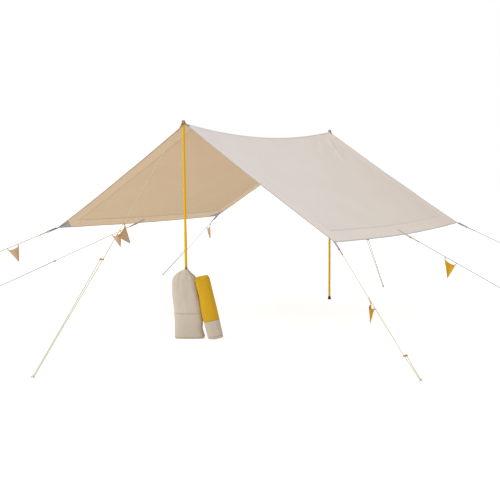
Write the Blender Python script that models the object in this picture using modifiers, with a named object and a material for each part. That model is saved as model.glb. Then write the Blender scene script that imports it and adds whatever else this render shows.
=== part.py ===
"""Camping tarp pitched on two poles, with its guy lines, pennants and stuff bags.

Metres, +Z up. X runs across the ridge, with the right wing at +X, and Y runs along it,
with the near pole at -Y. All pieces hang under one empty, which is moved at the end so
that the origin is at ground level under the middle of the whole pitch.
"""
import math

import bmesh
import bpy
from mathutils import Matrix, Vector

# Pitch of the cloth: a sheet of 3 m by 4 m
RIDGE_LENGTH = 3.0
APEX_HEIGHT = 2.11
RIDGE_SAG = 0.105
# Each wing by its side: how far out and how high its near and far corners are, how far the
# middle guy pulls the eave out, how far the sloping edges sag, and where along the eave,
# from -1 to 1, the middle guy is
WINGS = {
    1: {"near_corner": (1.651, 1.022), "far_corner": (1.690, 1.036),
        "eave_pull": 0.047, "edge_sag": 0.011, "middle_guy": -0.04},
    -1: {"near_corner": (1.730, 1.025), "far_corner": (1.700, 1.012),
         "eave_pull": 0.030, "edge_sag": 0.021, "middle_guy": -0.085},
}
CLOTH_THICKNESS = 0.004
SEAM_WIDTH = 0.024
SEAM_THICKNESS = 0.005
CELLS_DOWN_SLOPE = 14
CELLS_ALONG_RIDGE = 24

# Poles: two tubes that slide into each other, a rubber foot and a pin at the top
LOWER_TUBE_RADIUS = 0.0135
UPPER_TUBE_RADIUS = 0.012
LOWER_TUBE_TOP = 1.05
TUBE_SHOULDER = 0.003
FOOT_RADIUS = 0.020
FOOT_HEIGHT = 0.042
PIN_RADIUS = 0.0075
PIN_HEIGHT = 0.027
POLE_OFFSET = 0.022
NEAR_POLE_LEAN = -0.040
FAR_POLE_LEAN = 0.025

# Straps, guy lines, runners and pegs
STRAP_WIDTH = 0.024
STRAP_THICKNESS = 0.0035
STRAP_TOE_WIDTH = 0.008
STRAP_TOE_LENGTH = 0.010
STRAP_CLEARANCE = 0.00085
RING_RADIUS = 0.014
RING_HOLE_RADIUS = 0.009
CORD_RADIUS = 0.0027
RUNNER_LENGTH = 0.050
RUNNER_WIDTH = 0.016
RUNNER_THICKNESS = 0.007
RUNNER_HOLE_RADIUS = 0.0033
STRAND_SPREAD = 0.014
CORD_TAIL = 0.014
JOINED_SPREAD = 0.0031
PEG_RADIUS = 0.0025
PEG_LOOP_HEIGHT = 0.018
PEG_STEM = 0.012
PEG_HOOK_RADIUS = 0.008
PEG_HOOK_DROP = 0.005

# Pennants, hung on each guy line by two small loops
PENNANT_WIDTH = 0.14
PENNANT_DROP = 0.165
PENNANT_THICKNESS = 0.003
PENNANT_LOOP_SPACING = 0.065
PENNANT_LOOP_WIDTH = 0.006
PENNANT_LOOP_LENGTH = 0.026

# Bags at the near pole's foot: direction of their fronts, and their places from the foot
BAG_FACING = math.radians(-57.35)
CANVAS_BAG_FROM_POLE = 0.0770
POLE_BAG_PLACE = (0.2895, 0.105)
POLE_BAG_LEAN = math.radians(12.5)
BAG_SIDES = 28

GAP = 0.0003
HALF_RIDGE = RIDGE_LENGTH / 2
TUBE_TOP = APEX_HEIGHT - SEAM_THICKNESS - 2 * GAP

# Each guy: where its cloth end is, its ring's centre from there, the peg's place from the
# ridge's centre, how far down the line from the ring its runner and its pennant sit, the
# share of the way from runner to peg where its two strands come together, and which of the
# runner's two holes the strand from the ring goes through
GUYS = {
    "near_ridge": {"hold": "near_apex", "ring": 0.050, "peg": (0.045, -3.61),
                   "runner": 1.705, "pennant": 1.355, "join": 0.60, "side": 1},
    "far_ridge": {"hold": "far_apex", "ring": 0.050, "peg": (0.12, 2.92),
                  "runner": 1.68, "pennant": 1.30, "join": 0.56, "side": 1},
    "near_right": {"hold": "near_right", "ring": 0.085, "peg": (2.70, -2.045),
                   "runner": 1.205, "pennant": 0.64, "join": 0.47, "side": -1},
    "right_middle": {"hold": "right_middle", "ring": 0.055, "peg": (3.69, 0.02),
                     "runner": 1.64, "pennant": 0.466, "join": 0.50, "side": 1},
    "far_right": {"hold": "far_right", "ring": 0.105, "peg": (3.77, 2.21),
                  "runner": 1.72, "pennant": 0.535, "join": 0.50, "side": 1},
    "near_left": {"hold": "near_left", "ring": 0.115, "peg": (-4.02, -2.47),
                  "runner": 1.76, "pennant": 0.43, "join": 0.50, "side": 1},
    "left_middle": {"hold": "left_middle", "ring": 0.085, "peg": (-4.02, -0.53),
                    "runner": 1.21, "pennant": 0.225, "join": 0.31, "side": 1},
    "far_left": {"hold": "far_left", "ring": 0.085, "peg": (-3.30, 2.35),
                 "runner": 1.055, "pennant": 0.20, "join": 0.50, "side": -1},
}

# Sections of the bags, each as height, middle, half width and half depth
CANVAS_BAG_SECTIONS = [
    (0.000, 0.0255, 0.136, 0.046),
    (0.010, 0.0275, 0.1445, 0.053),
    (0.035, 0.031, 0.150, 0.056),
    (0.110, 0.0145, 0.1325, 0.057),
    (0.187, 0.017, 0.135, 0.058),
    (0.300, 0.006, 0.132, 0.058),
    (0.410, -0.0095, 0.1285, 0.057),
    (0.506, -0.019, 0.126, 0.054),
    (0.572, -0.0225, 0.1215, 0.050),
    (0.610, -0.022, 0.114, 0.044),
    (0.634, -0.0175, 0.0995, 0.036),
    (0.655, -0.022, 0.076, 0.030),
    (0.676, -0.016, 0.050, 0.023),
    (0.690, -0.008, 0.030, 0.016),
    (0.697, -0.004, 0.018, 0.011),
]
POLE_BAG_SECTIONS = [
    (0.000, 0.0, 0.070, 0.042),
    (0.006, 0.0, 0.0745, 0.047),
    (0.040, 0.0, 0.0755, 0.049),
    (0.170, -0.002, 0.0785, 0.051),
    (0.230, -0.005, 0.081, 0.051),
    (0.320, -0.003, 0.0785, 0.051),
    (0.450, 0.0, 0.0725, 0.049),
    (0.560, 0.0, 0.071, 0.045),
    (0.600, 0.0, 0.067, 0.039),
    (0.618, 0.0, 0.058, 0.029),
    (0.630, 0.0, 0.038, 0.016),
]


def clear_scene():
    """Remove whatever the file opened with."""
    for obj in list(bpy.data.objects):
        bpy.data.objects.remove(obj, do_unlink=True)


def make_material(name, colour, roughness, metallic=0.0):
    """One plain finish for the solids."""
    material = bpy.data.materials.new(name)
    material.use_nodes = True
    shader = material.node_tree.nodes["Principled BSDF"]
    shader.inputs["Base Color"].default_value = (*colour, 1.0)
    shader.inputs["Roughness"].default_value = roughness
    shader.inputs["Metallic"].default_value = metallic
    return material


def make_materials():
    """Finishes by name, from the colours in the photograph."""
    return {
        "canopy": make_material("canopy_cloth", (0.69, 0.63, 0.55), 0.85),
        "pole": make_material("mustard_pole", (0.72, 0.42, 0.02), 0.35, 0.6),
        "rubber": make_material("black_rubber", (0.02, 0.02, 0.02), 0.7),
        "strap": make_material("grey_webbing", (0.22, 0.21, 0.21), 0.8),
        "cord": make_material("ivory_cord", (0.72, 0.69, 0.62), 0.8),
        "runner": make_material("orange_runner", (0.60, 0.33, 0.08), 0.5),
        "peg": make_material("peg_steel", (0.45, 0.45, 0.45), 0.35, 1.0),
        "pennant": make_material("mustard_pennant", (0.58, 0.31, 0.04), 0.85),
        "canvas": make_material("canvas_bag", (0.60, 0.52, 0.43), 0.9),
        "bag": make_material("mustard_bag", (0.60, 0.34, 0.03), 0.8),
    }


def add_part(name, data, material, root):
    """Put a mesh or curve into the tarp's collection as a named piece."""
    obj = bpy.data.objects.new(name, data)
    data.materials.append(material)
    bpy.data.collections["camping_tarp"].objects.link(obj)
    obj.parent = root
    return obj


def mesh_from_bmesh(name, shape):
    """Turn a finished bmesh into a mesh shaded smooth, with its corners sharp."""
    mesh = bpy.data.meshes.new(name)
    shape.to_mesh(mesh)
    shape.free()
    mesh.shade_smooth()
    mesh.set_sharp_from_angle(angle=math.radians(35))
    return mesh


def flat_outline(name, outer, holes, thickness, material, root, placement):
    """A plate cut from a 2D curve, with round or other holes."""
    curve = bpy.data.curves.new(name, "CURVE")
    curve.dimensions = "2D"
    curve.fill_mode = "BOTH"
    curve.extrude = thickness / 2
    for outline in [outer, *holes]:
        spline = curve.splines.new("POLY")
        spline.points.add(len(outline) - 1)
        for point, (x, y) in zip(spline.points, outline):
            point.co = (x, y, 0.0, 1.0)
        spline.use_cyclic_u = True
    obj = add_part(name, curve, material, root)
    obj.matrix_local = placement
    return obj


def circle_points(centre_x, radius, count=12):
    """Points round a circle on the X axis, for a hole."""
    angles = [2 * math.pi * step / count for step in range(count)]
    return [(centre_x + radius * math.cos(a), radius * math.sin(a)) for a in angles]


def tube_curve(name, points, radius):
    """A cord or rod: a poly spline with a round bevel and filled caps."""
    curve = bpy.data.curves.new(name, "CURVE")
    curve.dimensions = "3D"
    curve.bevel_depth = radius
    curve.bevel_resolution = 2
    curve.use_fill_caps = True
    spline = curve.splines.new("POLY")
    spline.points.add(len(points) - 1)
    for point, place in zip(spline.points, points):
        point.co = (*place, 1.0)
    return curve


def frame_matrix(origin, x_axis, y_axis, z_axis):
    """A placement from an origin and three unit axes."""
    matrix = Matrix.Identity(4)
    for column, axis in enumerate((x_axis, y_axis, z_axis)):
        for row in range(3):
            matrix[row][column] = axis[row]
    matrix.translation = origin
    return matrix


def eave_line(side, along):
    """The straight line between a wing's corners: how far out, how high and how steep it is."""
    near_out, near_height = WINGS[side]["near_corner"]
    far_out, far_height = WINGS[side]["far_corner"]
    share = (along + 1) / 2
    out = near_out + (far_out - near_out) * share
    height = near_height + (far_height - near_height) * share
    return out, height, math.atan2(APEX_HEIGHT - height, out)


def wing_point(side, down, along):
    """A point of the cloth: down runs 0 to 1 from ridge to eave, along -1 to 1 from near to far.

    The ridge sags between the poles, the middle guy pulls the eave out, and the slope
    between them sags a little.
    """
    wing = WINGS[side]
    out, height, slope = eave_line(side, along)
    bow = 1 - along * along
    pull = wing["eave_pull"] * bow
    ridge_height = APEX_HEIGHT - RIDGE_SAG * bow
    eave_height = height - pull * math.sin(slope)
    sag = wing["edge_sag"] * 4 * down * (1 - down)
    return Vector((side * down * (out + pull * math.cos(slope)), along * HALF_RIDGE,
                   ridge_height + (eave_height - ridge_height) * down - sag))


def down_share(side, distance):
    """The share of a wing, down from the ridge, that a short level distance takes."""
    return distance / min(WINGS[side]["near_corner"][0], WINGS[side]["far_corner"][0])


def cloth_grid(name, columns, rows, place):
    """A grid of cloth whose corners run -1 to 1, moved to where place says."""
    shape = bmesh.new()
    bmesh.ops.create_grid(shape, x_segments=columns, y_segments=rows, size=1.0)
    for vertex in shape.verts:
        vertex.co = place(vertex.co.x, vertex.co.y)
    return mesh_from_bmesh(name, shape)


def add_cloth(name, mesh, thickness, material, root):
    """A sheet with its real outer face up and its thickness below."""
    obj = add_part(name, mesh, material, root)
    solidify = obj.modifiers.new("cloth", "SOLIDIFY")
    solidify.thickness = thickness
    solidify.offset = -1.0
    solidify.use_even_offset = True
    return obj


def build_wing(name, side, material, root):
    """One half of the canopy, from the ridge seam down to the eave."""
    start = down_share(side, SEAM_WIDTH / 2 + GAP)

    def place(x, y):
        down = start + (1 - start) * (x + 1) / 2
        return wing_point(side, down, side * y)

    mesh = cloth_grid(name, CELLS_DOWN_SLOPE, CELLS_ALONG_RIDGE, place)
    return add_cloth(name, mesh, CLOTH_THICKNESS, material, root)


def build_ridge_seam(material, root):
    """The doubled strip along the ridge that joins the two wings."""
    def place(x, y):
        side = 1 if x > 0 else -1
        return wing_point(side, down_share(side, abs(x) * SEAM_WIDTH / 2), y)

    mesh = cloth_grid("ridge_seam", 2, CELLS_ALONG_RIDGE, place)
    return add_cloth("ridge_seam", mesh, SEAM_THICKNESS, material, root)


def turned(name, profile, sides, material, parent):
    """A round piece from a profile of radius and height, listed from the top down."""
    mesh = bpy.data.meshes.new(name)
    points = [(radius, 0.0, height) for radius, height in profile]
    edges = [(index, index + 1) for index in range(len(points) - 1)]
    mesh.from_pydata(points, edges, [])
    obj = add_part(name, mesh, material, parent)
    screw = obj.modifiers.new("turn", "SCREW")
    screw.axis = "Z"
    screw.steps = sides
    screw.render_steps = sides
    screw.use_merge_vertices = True
    screw.merge_threshold = 0.0001
    screw.use_smooth_shade = True
    return obj


def foot_place(end, lean):
    """Where a pole stands on the ground."""
    return Vector((0, end * (HALF_RIDGE + POLE_OFFSET + lean), 0))


def build_pole(label, end, lean, materials, root):
    """A pole under one end of the ridge: a foot flat on the ground, and tubes that lean on it."""
    tilt = math.atan2(lean, APEX_HEIGHT)
    seat = FOOT_HEIGHT + GAP + LOWER_TUBE_RADIUS * abs(math.sin(tilt))
    place = bpy.data.objects.new(label + "_pole_place", None)
    stand = bpy.data.objects.new(label + "_pole_lean", None)
    place.parent = root
    place.location = foot_place(end, lean)
    stand.parent = place
    stand.rotation_euler = (end * tilt, 0, 0)
    for empty in (place, stand):
        bpy.data.collections["camping_tarp"].objects.link(empty)
    foot = [
        (0.0, FOOT_HEIGHT),
        (LOWER_TUBE_RADIUS + 0.001, FOOT_HEIGHT),
        (FOOT_RADIUS - 0.001, FOOT_HEIGHT / 3),
        (FOOT_RADIUS, 0.004),
        (FOOT_RADIUS - 0.002, 0.0),
        (0.0, 0.0),
    ]
    lower = [
        (0.0, LOWER_TUBE_TOP),
        (LOWER_TUBE_RADIUS - 0.001, LOWER_TUBE_TOP),
        (LOWER_TUBE_RADIUS, LOWER_TUBE_TOP - 0.001),
        (LOWER_TUBE_RADIUS, seat),
        (0.0, seat),
    ]
    upper = [
        (0.0, TUBE_TOP + PIN_HEIGHT),
        (PIN_RADIUS - 0.001, TUBE_TOP + PIN_HEIGHT),
        (PIN_RADIUS, TUBE_TOP + PIN_HEIGHT - 0.002),
        (PIN_RADIUS, TUBE_TOP),
        (UPPER_TUBE_RADIUS - TUBE_SHOULDER, TUBE_TOP),
        (UPPER_TUBE_RADIUS, TUBE_TOP - TUBE_SHOULDER),
        (UPPER_TUBE_RADIUS, LOWER_TUBE_TOP + GAP),
        (0.0, LOWER_TUBE_TOP + GAP),
    ]
    turned(label + "_pole_foot", foot, 16, materials["rubber"], place)
    turned(label + "_pole_lower", lower, 16, materials["pole"], stand)
    turned(label + "_pole_upper", upper, 16, materials["pole"], stand)


def hold_points():
    """Where each guy's strap meets the cloth."""
    seam_end = HALF_RIDGE + STRAP_CLEARANCE
    seam_middle = APEX_HEIGHT - SEAM_THICKNESS / 2
    holds = {
        "near_apex": Vector((0, -seam_end, seam_middle)),
        "far_apex": Vector((0, seam_end, seam_middle)),
    }
    for word, side in (("right", 1), ("left", -1)):
        places = {"near_" + word: -1, word + "_middle": WINGS[side]["middle_guy"], "far_" + word: 1}
        for name, along in places.items():
            slope = eave_line(side, along)[2]
            outward = Vector((side * math.sin(slope), 0, math.cos(slope)))
            holds[name] = wing_point(side, 1, along) - outward * (CLOTH_THICKNESS / 2)
    return holds


def build_strap(name, placement, start_at, ring_centre, pin_hole, material, root):
    """A webbing tab with a narrow toe that ends in a ring, lying along the local X axis."""
    corner = math.asin(STRAP_WIDTH / 2 / RING_RADIUS)
    start = -(math.pi - corner)
    steps = 14
    shoulder = start_at + STRAP_TOE_LENGTH
    outer = [(shoulder, STRAP_WIDTH / 2), (start_at, STRAP_TOE_WIDTH / 2),
             (start_at, -STRAP_TOE_WIDTH / 2), (shoulder, -STRAP_WIDTH / 2)]
    for step in range(steps + 1):
        angle = start - 2 * start * step / steps
        outer.append((ring_centre + RING_RADIUS * math.cos(angle), RING_RADIUS * math.sin(angle)))
    holes = [circle_points(ring_centre, RING_HOLE_RADIUS)]
    if pin_hole:
        holes.append(circle_points(POLE_OFFSET - STRAP_CLEARANCE, PIN_RADIUS + 2 * GAP))
    return flat_outline(name, outer, holes, STRAP_THICKNESS, material, root, placement)


def guy_frame(start, peg):
    """Unit axes of a guy: down the line, up across it, and sideways."""
    along = (peg - start).normalized()
    sideways = Vector((0, 0, 1)).cross(along).normalized()
    across = along.cross(sideways).normalized()
    return along, across, sideways


def build_guy(name, start, peg, axes, guy, material, root):
    """The cord from its ring down through the runner, round the peg and back up."""
    along, across, sideways = axes
    sideways = sideways * guy["side"]
    turn_radius = PEG_RADIUS + CORD_RADIUS + GAP
    runner = start + along * guy["runner"]
    join = runner.lerp(peg, guy["join"])
    points = [start, runner + sideways * STRAND_SPREAD, join + sideways * JOINED_SPREAD]
    steps = 8
    for step in range(steps + 1):
        angle = math.pi * step / steps
        points.append(peg + sideways * turn_radius * math.cos(angle)
                      + along * turn_radius * math.sin(angle))
    points.append(join - sideways * JOINED_SPREAD)
    points.append(runner - sideways * STRAND_SPREAD)
    points.append(runner - sideways * STRAND_SPREAD - along * CORD_TAIL)
    return add_part(name, tube_curve(name, points, CORD_RADIUS), material, root)


def build_runner(name, centre, axes, material, root):
    """The bar that slides on the cord: two holes, one for each strand."""
    along, across, sideways = axes
    end_radius = RUNNER_WIDTH / 2
    reach = RUNNER_LENGTH / 2 - end_radius
    steps = 6
    outer = []
    for end in (1, -1):
        for step in range(steps + 1):
            angle = math.pi * step / steps - math.pi / 2
            outer.append((end * (reach + end_radius * math.cos(angle)),
                          end * end_radius * math.sin(angle)))
    holes = [circle_points(end * STRAND_SPREAD, RUNNER_HOLE_RADIUS, 10) for end in (1, -1)]
    placement = frame_matrix(centre, sideways, across, sideways.cross(across))
    return flat_outline(name, outer, holes, RUNNER_THICKNESS, material, root, placement)


def build_peg(name, loop_centre, axes, material, root):
    """What shows of a rod peg: its stem from the ground up, and its hook."""
    along, across, sideways = axes
    ground = loop_centre - across * (loop_centre.z / across.z)
    top = loop_centre + across * PEG_STEM
    hook_centre = top + along * PEG_HOOK_RADIUS
    points = [ground - across * PEG_RADIUS * 2, loop_centre, top]
    steps = 6
    for step in range(1, steps + 1):
        angle = math.pi * step / steps
        points.append(hook_centre - along * PEG_HOOK_RADIUS * math.cos(angle)
                      + across * PEG_HOOK_RADIUS * math.sin(angle))
    points.append(points[-1] - across * PEG_HOOK_DROP)
    curve_object = bpy.data.objects.new("peg_path", tube_curve("peg_path", points, PEG_RADIUS))
    bpy.data.collections["camping_tarp"].objects.link(curve_object)
    evaluated = curve_object.evaluated_get(bpy.context.evaluated_depsgraph_get())
    mesh = bpy.data.meshes.new_from_object(evaluated)
    bpy.data.objects.remove(curve_object, do_unlink=True)
    shape = bmesh.new()
    shape.from_mesh(mesh)
    bmesh.ops.remove_doubles(shape, verts=shape.verts, dist=0.00001)
    for vertex in shape.verts:
        if vertex.co.z < 0:
            vertex.co -= across * (vertex.co.z / across.z)
    bmesh.ops.recalc_face_normals(shape, faces=shape.faces)
    return add_part(name, mesh_from_bmesh(name, shape), material, root)


def build_pennant(name, centre, axes, material, root):
    """A small triangle of cloth under the line, with the two loops that hold it."""
    along, across, sideways = axes
    top = -(CORD_RADIUS + GAP)
    edge = top - PENNANT_LOOP_LENGTH
    half_width = PENNANT_WIDTH / 2
    outer = [(-half_width, edge), (0.0, edge - PENNANT_DROP), (half_width, edge)]
    for loop in (1, -1):
        middle = loop * PENNANT_LOOP_SPACING
        outer.append((middle + PENNANT_LOOP_WIDTH / 2, edge))
        outer.append((middle + PENNANT_LOOP_WIDTH / 2, top))
        outer.append((middle - PENNANT_LOOP_WIDTH / 2, top))
        outer.append((middle - PENNANT_LOOP_WIDTH / 2, edge))
    placement = frame_matrix(centre, along, across, along.cross(across))
    return flat_outline(name, outer, [], PENNANT_THICKNESS, material, root, placement)


def build_guy_set(label, guy, holds, materials, root):
    """A strap with its ring, the guy on it, and the guy's runner, peg and pennant."""
    hold = holds[guy["hold"]]
    peg = Vector((*guy["peg"], PEG_LOOP_HEIGHT))
    at_apex = guy["hold"].endswith("apex")
    start_at = 0.0 if at_apex else STRAP_CLEARANCE
    if at_apex:
        out = Vector((0, math.copysign(1, hold.y), 0))
        strap_axes = (out, Vector((0, 0, 1)).cross(out), Vector((0, 0, 1)))
    else:
        along, across, sideways = guy_frame(hold, peg)
        strap_axes = (along, sideways, across)
        if guy["hold"].endswith("middle"):
            start_at += STRAP_TOE_WIDTH / 2 * abs(along.y / along.x)
    placement = frame_matrix(hold, *strap_axes)
    build_strap(label + "_strap", placement, start_at, guy["ring"], at_apex,
                materials["strap"], root)
    ring_edge = hold + strap_axes[0] * (guy["ring"] + RING_RADIUS)
    along = guy_frame(ring_edge, peg)[0]
    bend = along.angle(strap_axes[0])
    start = ring_edge + along * (2 * GAP + STRAP_THICKNESS / 2 * math.sin(bend))
    axes = guy_frame(start, peg)
    along, across, sideways = axes
    build_guy(label + "_guy", start, peg, axes, guy, materials["cord"], root)
    runner = start + along * guy["runner"]
    build_runner(label + "_runner", runner, axes, materials["runner"], root)
    build_peg(label + "_peg", peg, axes, materials["peg"], root)
    strand = (runner + sideways * STRAND_SPREAD * guy["side"] - start).normalized()
    pennant = start + strand * guy["pennant"]
    pennant_axes = (strand, strand.cross(sideways).normalized(), sideways)
    build_pennant(label + "_pennant", pennant, pennant_axes, materials["pennant"], root)


def build_bag(name, sections, place, turn, lean, material, root):
    """A soft bag lofted through rounded sections, standing on the ground."""
    shape = bmesh.new()
    rings = []
    for height, middle, half_width, half_depth in sections:
        ring = []
        for step in range(BAG_SIDES):
            angle = 2 * math.pi * step / BAG_SIDES
            across = math.copysign(abs(math.cos(angle)) ** 0.8, math.cos(angle))
            deep = math.copysign(abs(math.sin(angle)) ** 0.8, math.sin(angle))
            ring.append(shape.verts.new((middle + half_width * across, half_depth * deep, height)))
        rings.append(ring)
    for lower, upper in zip(rings, rings[1:]):
        for step in range(BAG_SIDES):
            following = (step + 1) % BAG_SIDES
            shape.faces.new((lower[step], lower[following], upper[following], upper[step]))
    shape.faces.new(list(reversed(rings[0])))
    shape.faces.new(rings[-1])
    foot = Matrix.Rotation(lean, 4, "Y")
    bmesh.ops.transform(shape, matrix=foot, verts=shape.verts)
    lowest = min(vertex.co.z for vertex in shape.verts)
    for vertex in shape.verts:
        vertex.co.z = max(vertex.co.z, lowest + 0.012) - lowest - 0.012
    bag = add_part(name, mesh_from_bmesh(name, shape), material, root)
    bag.location = place
    bag.rotation_euler = (0, 0, turn)
    return bag


def build_bags(materials, root):
    """The canvas bag against the near pole, and the pole bag that leans on it."""
    foot = foot_place(-1, NEAR_POLE_LEAN)
    front = Vector((math.cos(BAG_FACING), math.sin(BAG_FACING), 0))
    beside = Vector((-front.y, front.x, 0))
    turn = math.atan2(beside.y, beside.x)
    build_bag("canvas_bag", CANVAS_BAG_SECTIONS, foot + front * CANVAS_BAG_FROM_POLE, turn, 0.0,
              materials["canvas"], root)
    place = foot + beside * POLE_BAG_PLACE[0] + front * POLE_BAG_PLACE[1]
    build_bag("pole_bag", POLE_BAG_SECTIONS, place, turn, -POLE_BAG_LEAN,
              materials["bag"], root)


def centre_footprint(root):
    """Move everything so that the origin is under the middle of the whole pitch."""
    bpy.context.view_layer.update()
    depsgraph = bpy.context.evaluated_depsgraph_get()
    xs = []
    ys = []
    for obj in bpy.data.collections["camping_tarp"].objects:
        if obj.type == "EMPTY":
            continue
        evaluated = obj.evaluated_get(depsgraph)
        mesh = evaluated.to_mesh()
        for vertex in mesh.vertices:
            place = evaluated.matrix_world @ vertex.co
            xs.append(place.x)
            ys.append(place.y)
        evaluated.to_mesh_clear()
    root.location = (-(min(xs) + max(xs)) / 2, -(min(ys) + max(ys)) / 2, 0)
    bpy.context.view_layer.update()


def main():
    """Build the whole pitched tarp."""
    clear_scene()
    collection = bpy.data.collections.new("camping_tarp")
    bpy.context.scene.collection.children.link(collection)
    root = bpy.data.objects.new("tarp_root", None)
    collection.objects.link(root)
    materials = make_materials()
    build_wing("right_wing", 1, materials["canopy"], root)
    build_wing("left_wing", -1, materials["canopy"], root)
    build_ridge_seam(materials["canopy"], root)
    build_pole("near", -1, NEAR_POLE_LEAN, materials, root)
    build_pole("far", 1, FAR_POLE_LEAN, materials, root)
    holds = hold_points()
    for label, guy in GUYS.items():
        build_guy_set(label, guy, holds, materials, root)
    build_bags(materials, root)
    centre_footprint(root)


main()
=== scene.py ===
"""Looks for the pitched camping tarp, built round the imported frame.

Metres, +Z up, in the frame's own axes. The cloth is worked out flat, as s across from the
ridge (right wing positive) and t along it (near end negative), then put in place.
"""
import math

import bmesh
import bpy
import numpy as np
from mathutils import Matrix, Vector


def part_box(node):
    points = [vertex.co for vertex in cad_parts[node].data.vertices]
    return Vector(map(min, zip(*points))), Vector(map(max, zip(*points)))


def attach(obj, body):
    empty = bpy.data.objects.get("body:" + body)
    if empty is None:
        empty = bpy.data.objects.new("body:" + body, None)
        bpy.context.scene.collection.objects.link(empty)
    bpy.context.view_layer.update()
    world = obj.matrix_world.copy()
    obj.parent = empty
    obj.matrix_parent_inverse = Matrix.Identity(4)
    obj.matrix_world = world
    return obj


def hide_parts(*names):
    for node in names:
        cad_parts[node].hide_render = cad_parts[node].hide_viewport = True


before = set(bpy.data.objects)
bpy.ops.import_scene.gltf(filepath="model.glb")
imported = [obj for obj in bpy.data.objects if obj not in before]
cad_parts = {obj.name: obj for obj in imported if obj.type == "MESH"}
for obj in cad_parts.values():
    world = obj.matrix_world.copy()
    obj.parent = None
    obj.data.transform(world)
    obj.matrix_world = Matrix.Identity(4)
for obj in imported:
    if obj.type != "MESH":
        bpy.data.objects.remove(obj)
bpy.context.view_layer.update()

# Sizes shared with the part's source
HALF_RIDGE = 1.5
APEX_HEIGHT = 2.11
RIDGE_SAG = 0.105
# Each wing: how far out and how high its near and far corners are, how far the middle guy
# pulls the eave out, how far the slope sags, and where along the eave the middle guy is
RIGHT = {"near": (1.651, 1.022), "far": (1.690, 1.036), "pull": 0.047, "sag": 0.011, "middle": -0.06}
LEFT = {"near": (1.730, 1.025), "far": (1.700, 1.012), "pull": 0.030, "sag": 0.021, "middle": -0.1275}
RIGHT_LENGTH = 1.990
LEFT_LENGTH = 2.033
CAD_CLOTH = 0.004
POLE_OFFSET = 0.022
NEAR_POLE_LEAN = -0.040
RING_RADIUS = 0.0098
RING_WIRE = 0.0030
# Each guy: how far its ring is from the hold, where its peg is, how far along it the runner
# and the pennant are, where its strands come together on the way from the runner to the peg,
# and which of the runner's holes the strand from the ring goes through
GUYS = {
    "near_ridge": (0.050, (0.045, -3.61), 1.705, 1.355, 0.60, 1),
    "far_ridge": (0.050, (0.12, 2.92), 1.68, 1.30, 0.56, 1),
    "near_right": (0.085, (2.70, -2.045), 1.205, 0.64, 0.47, -1),
    "right_middle": (0.055, (3.69, 0.02), 1.64, 0.466, 0.50, 1),
    "far_right": (0.105, (3.77, 2.21), 1.72, 0.535, 0.50, 1),
    "near_left": (0.115, (-4.02, -2.47), 1.76, 0.43, 0.50, 1),
    "left_middle": (0.085, (-4.02, -0.53), 1.21, 0.225, 0.31, 1),
    "far_left": (0.085, (-3.30, 2.35), 1.055, 0.20, 0.50, -1),
}
# Guys whose line takes the lit copy of the cord, painted light; the other lines take its shaded copy,
# painted shade
LIT_CORD_LINES = ("near_ridge", "near_right")
PEG_LOOP_HEIGHT = 0.018
STRAND_SPREAD = 0.014
JOINED_SPREAD = 0.0070
CORD_RADIUS = 0.0034
PEG_RADIUS = 0.0025
SHOCK_RADIUS = 0.0026
# How far the shock loop's twisted strands are from their middle, and how long one twist is
SHOCK_SPACING = 0.0027
SHOCK_TWIST = 0.021
PENNANT_WIDTH = 0.14
PENNANT_DROP = 0.165
PENNANT_LOOP_SPACING = 0.065
PENNANT_LOOP_LENGTH = 0.026

# The ridge's centre in the frame's axes
low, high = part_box("near_pole_foot")
NEAR_FOOT = np.array([(low.x + high.x) / 2, (low.y + high.y) / 2, 0.0])
SHIFT = NEAR_FOOT + np.array([0.0, HALF_RIDGE + POLE_OFFSET + NEAR_POLE_LEAN, 0.0])

# Layers of the sewn sheet, all from its outer face
SHEET = 0.0015
BAND_TOP = 0.0017
BAND = 0.0008
PATCH_TOP = 0.0027
PATCH = 0.0007
STRAP = 0.0022
BAND_WIDTH = 0.18
STITCH_PITCH = 0.0085
STITCH_LENGTH = 0.006
STITCH_HALF_WIDTH = 0.0005
# How far apart the sheet's grid lines are
CELL = 0.02


def place_camera():
    """A camera at the photograph's own place and angle."""
    camera = bpy.data.objects.new("camera", bpy.data.cameras.new("camera"))
    bpy.context.scene.collection.objects.link(camera)
    heading = math.radians(-32.65)
    dip = math.radians(5.36)
    camera.location = Vector((5.441, -8.815, 1.722)) + Vector(SHIFT)
    camera.rotation_euler = (math.pi / 2 - dip, 0.0, -heading)
    camera.data.sensor_width = 36.0
    camera.data.lens = 66.66
    bpy.context.scene.camera = camera


def unit(vectors):
    """Vectors scaled to length 1 along the last axis."""
    return vectors / np.linalg.norm(vectors, axis=-1, keepdims=True)


def smooth_step(value):
    """0 to 1 with flat ends."""
    value = np.clip(value, 0.0, 1.0)
    return value * value * (3 - 2 * value)


def soft_noise(x, y, seed):
    """Smooth noise from -1 to 1, with about one swing per unit."""
    table = np.random.default_rng(seed).uniform(-1, 1, (97, 97))
    column = np.floor(x).astype(int)
    row = np.floor(y).astype(int)
    right = smooth_step(x - column)
    up = smooth_step(y - row)
    corners = [table[(column + i) % 97, (row + j) % 97] for i in (0, 1) for j in (0, 1)]
    low_side = corners[0] * (1 - up) + corners[1] * up
    high_side = corners[2] * (1 - up) + corners[3] * up
    return low_side * (1 - right) + high_side * right


# The cloth

def eave_line(t, side):
    """How far out, how high and how steep the line between a wing's corners is."""
    share = (t / HALF_RIDGE + 1) / 2
    near_out, near_height = [np.where(side > 0, *pair) for pair in zip(RIGHT["near"], LEFT["near"])]
    far_out, far_height = [np.where(side > 0, *pair) for pair in zip(RIGHT["far"], LEFT["far"])]
    out = near_out + (far_out - near_out) * share
    height = near_height + (far_height - near_height) * share
    return out, height, np.arctan2(APEX_HEIGHT - height, out)


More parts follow.
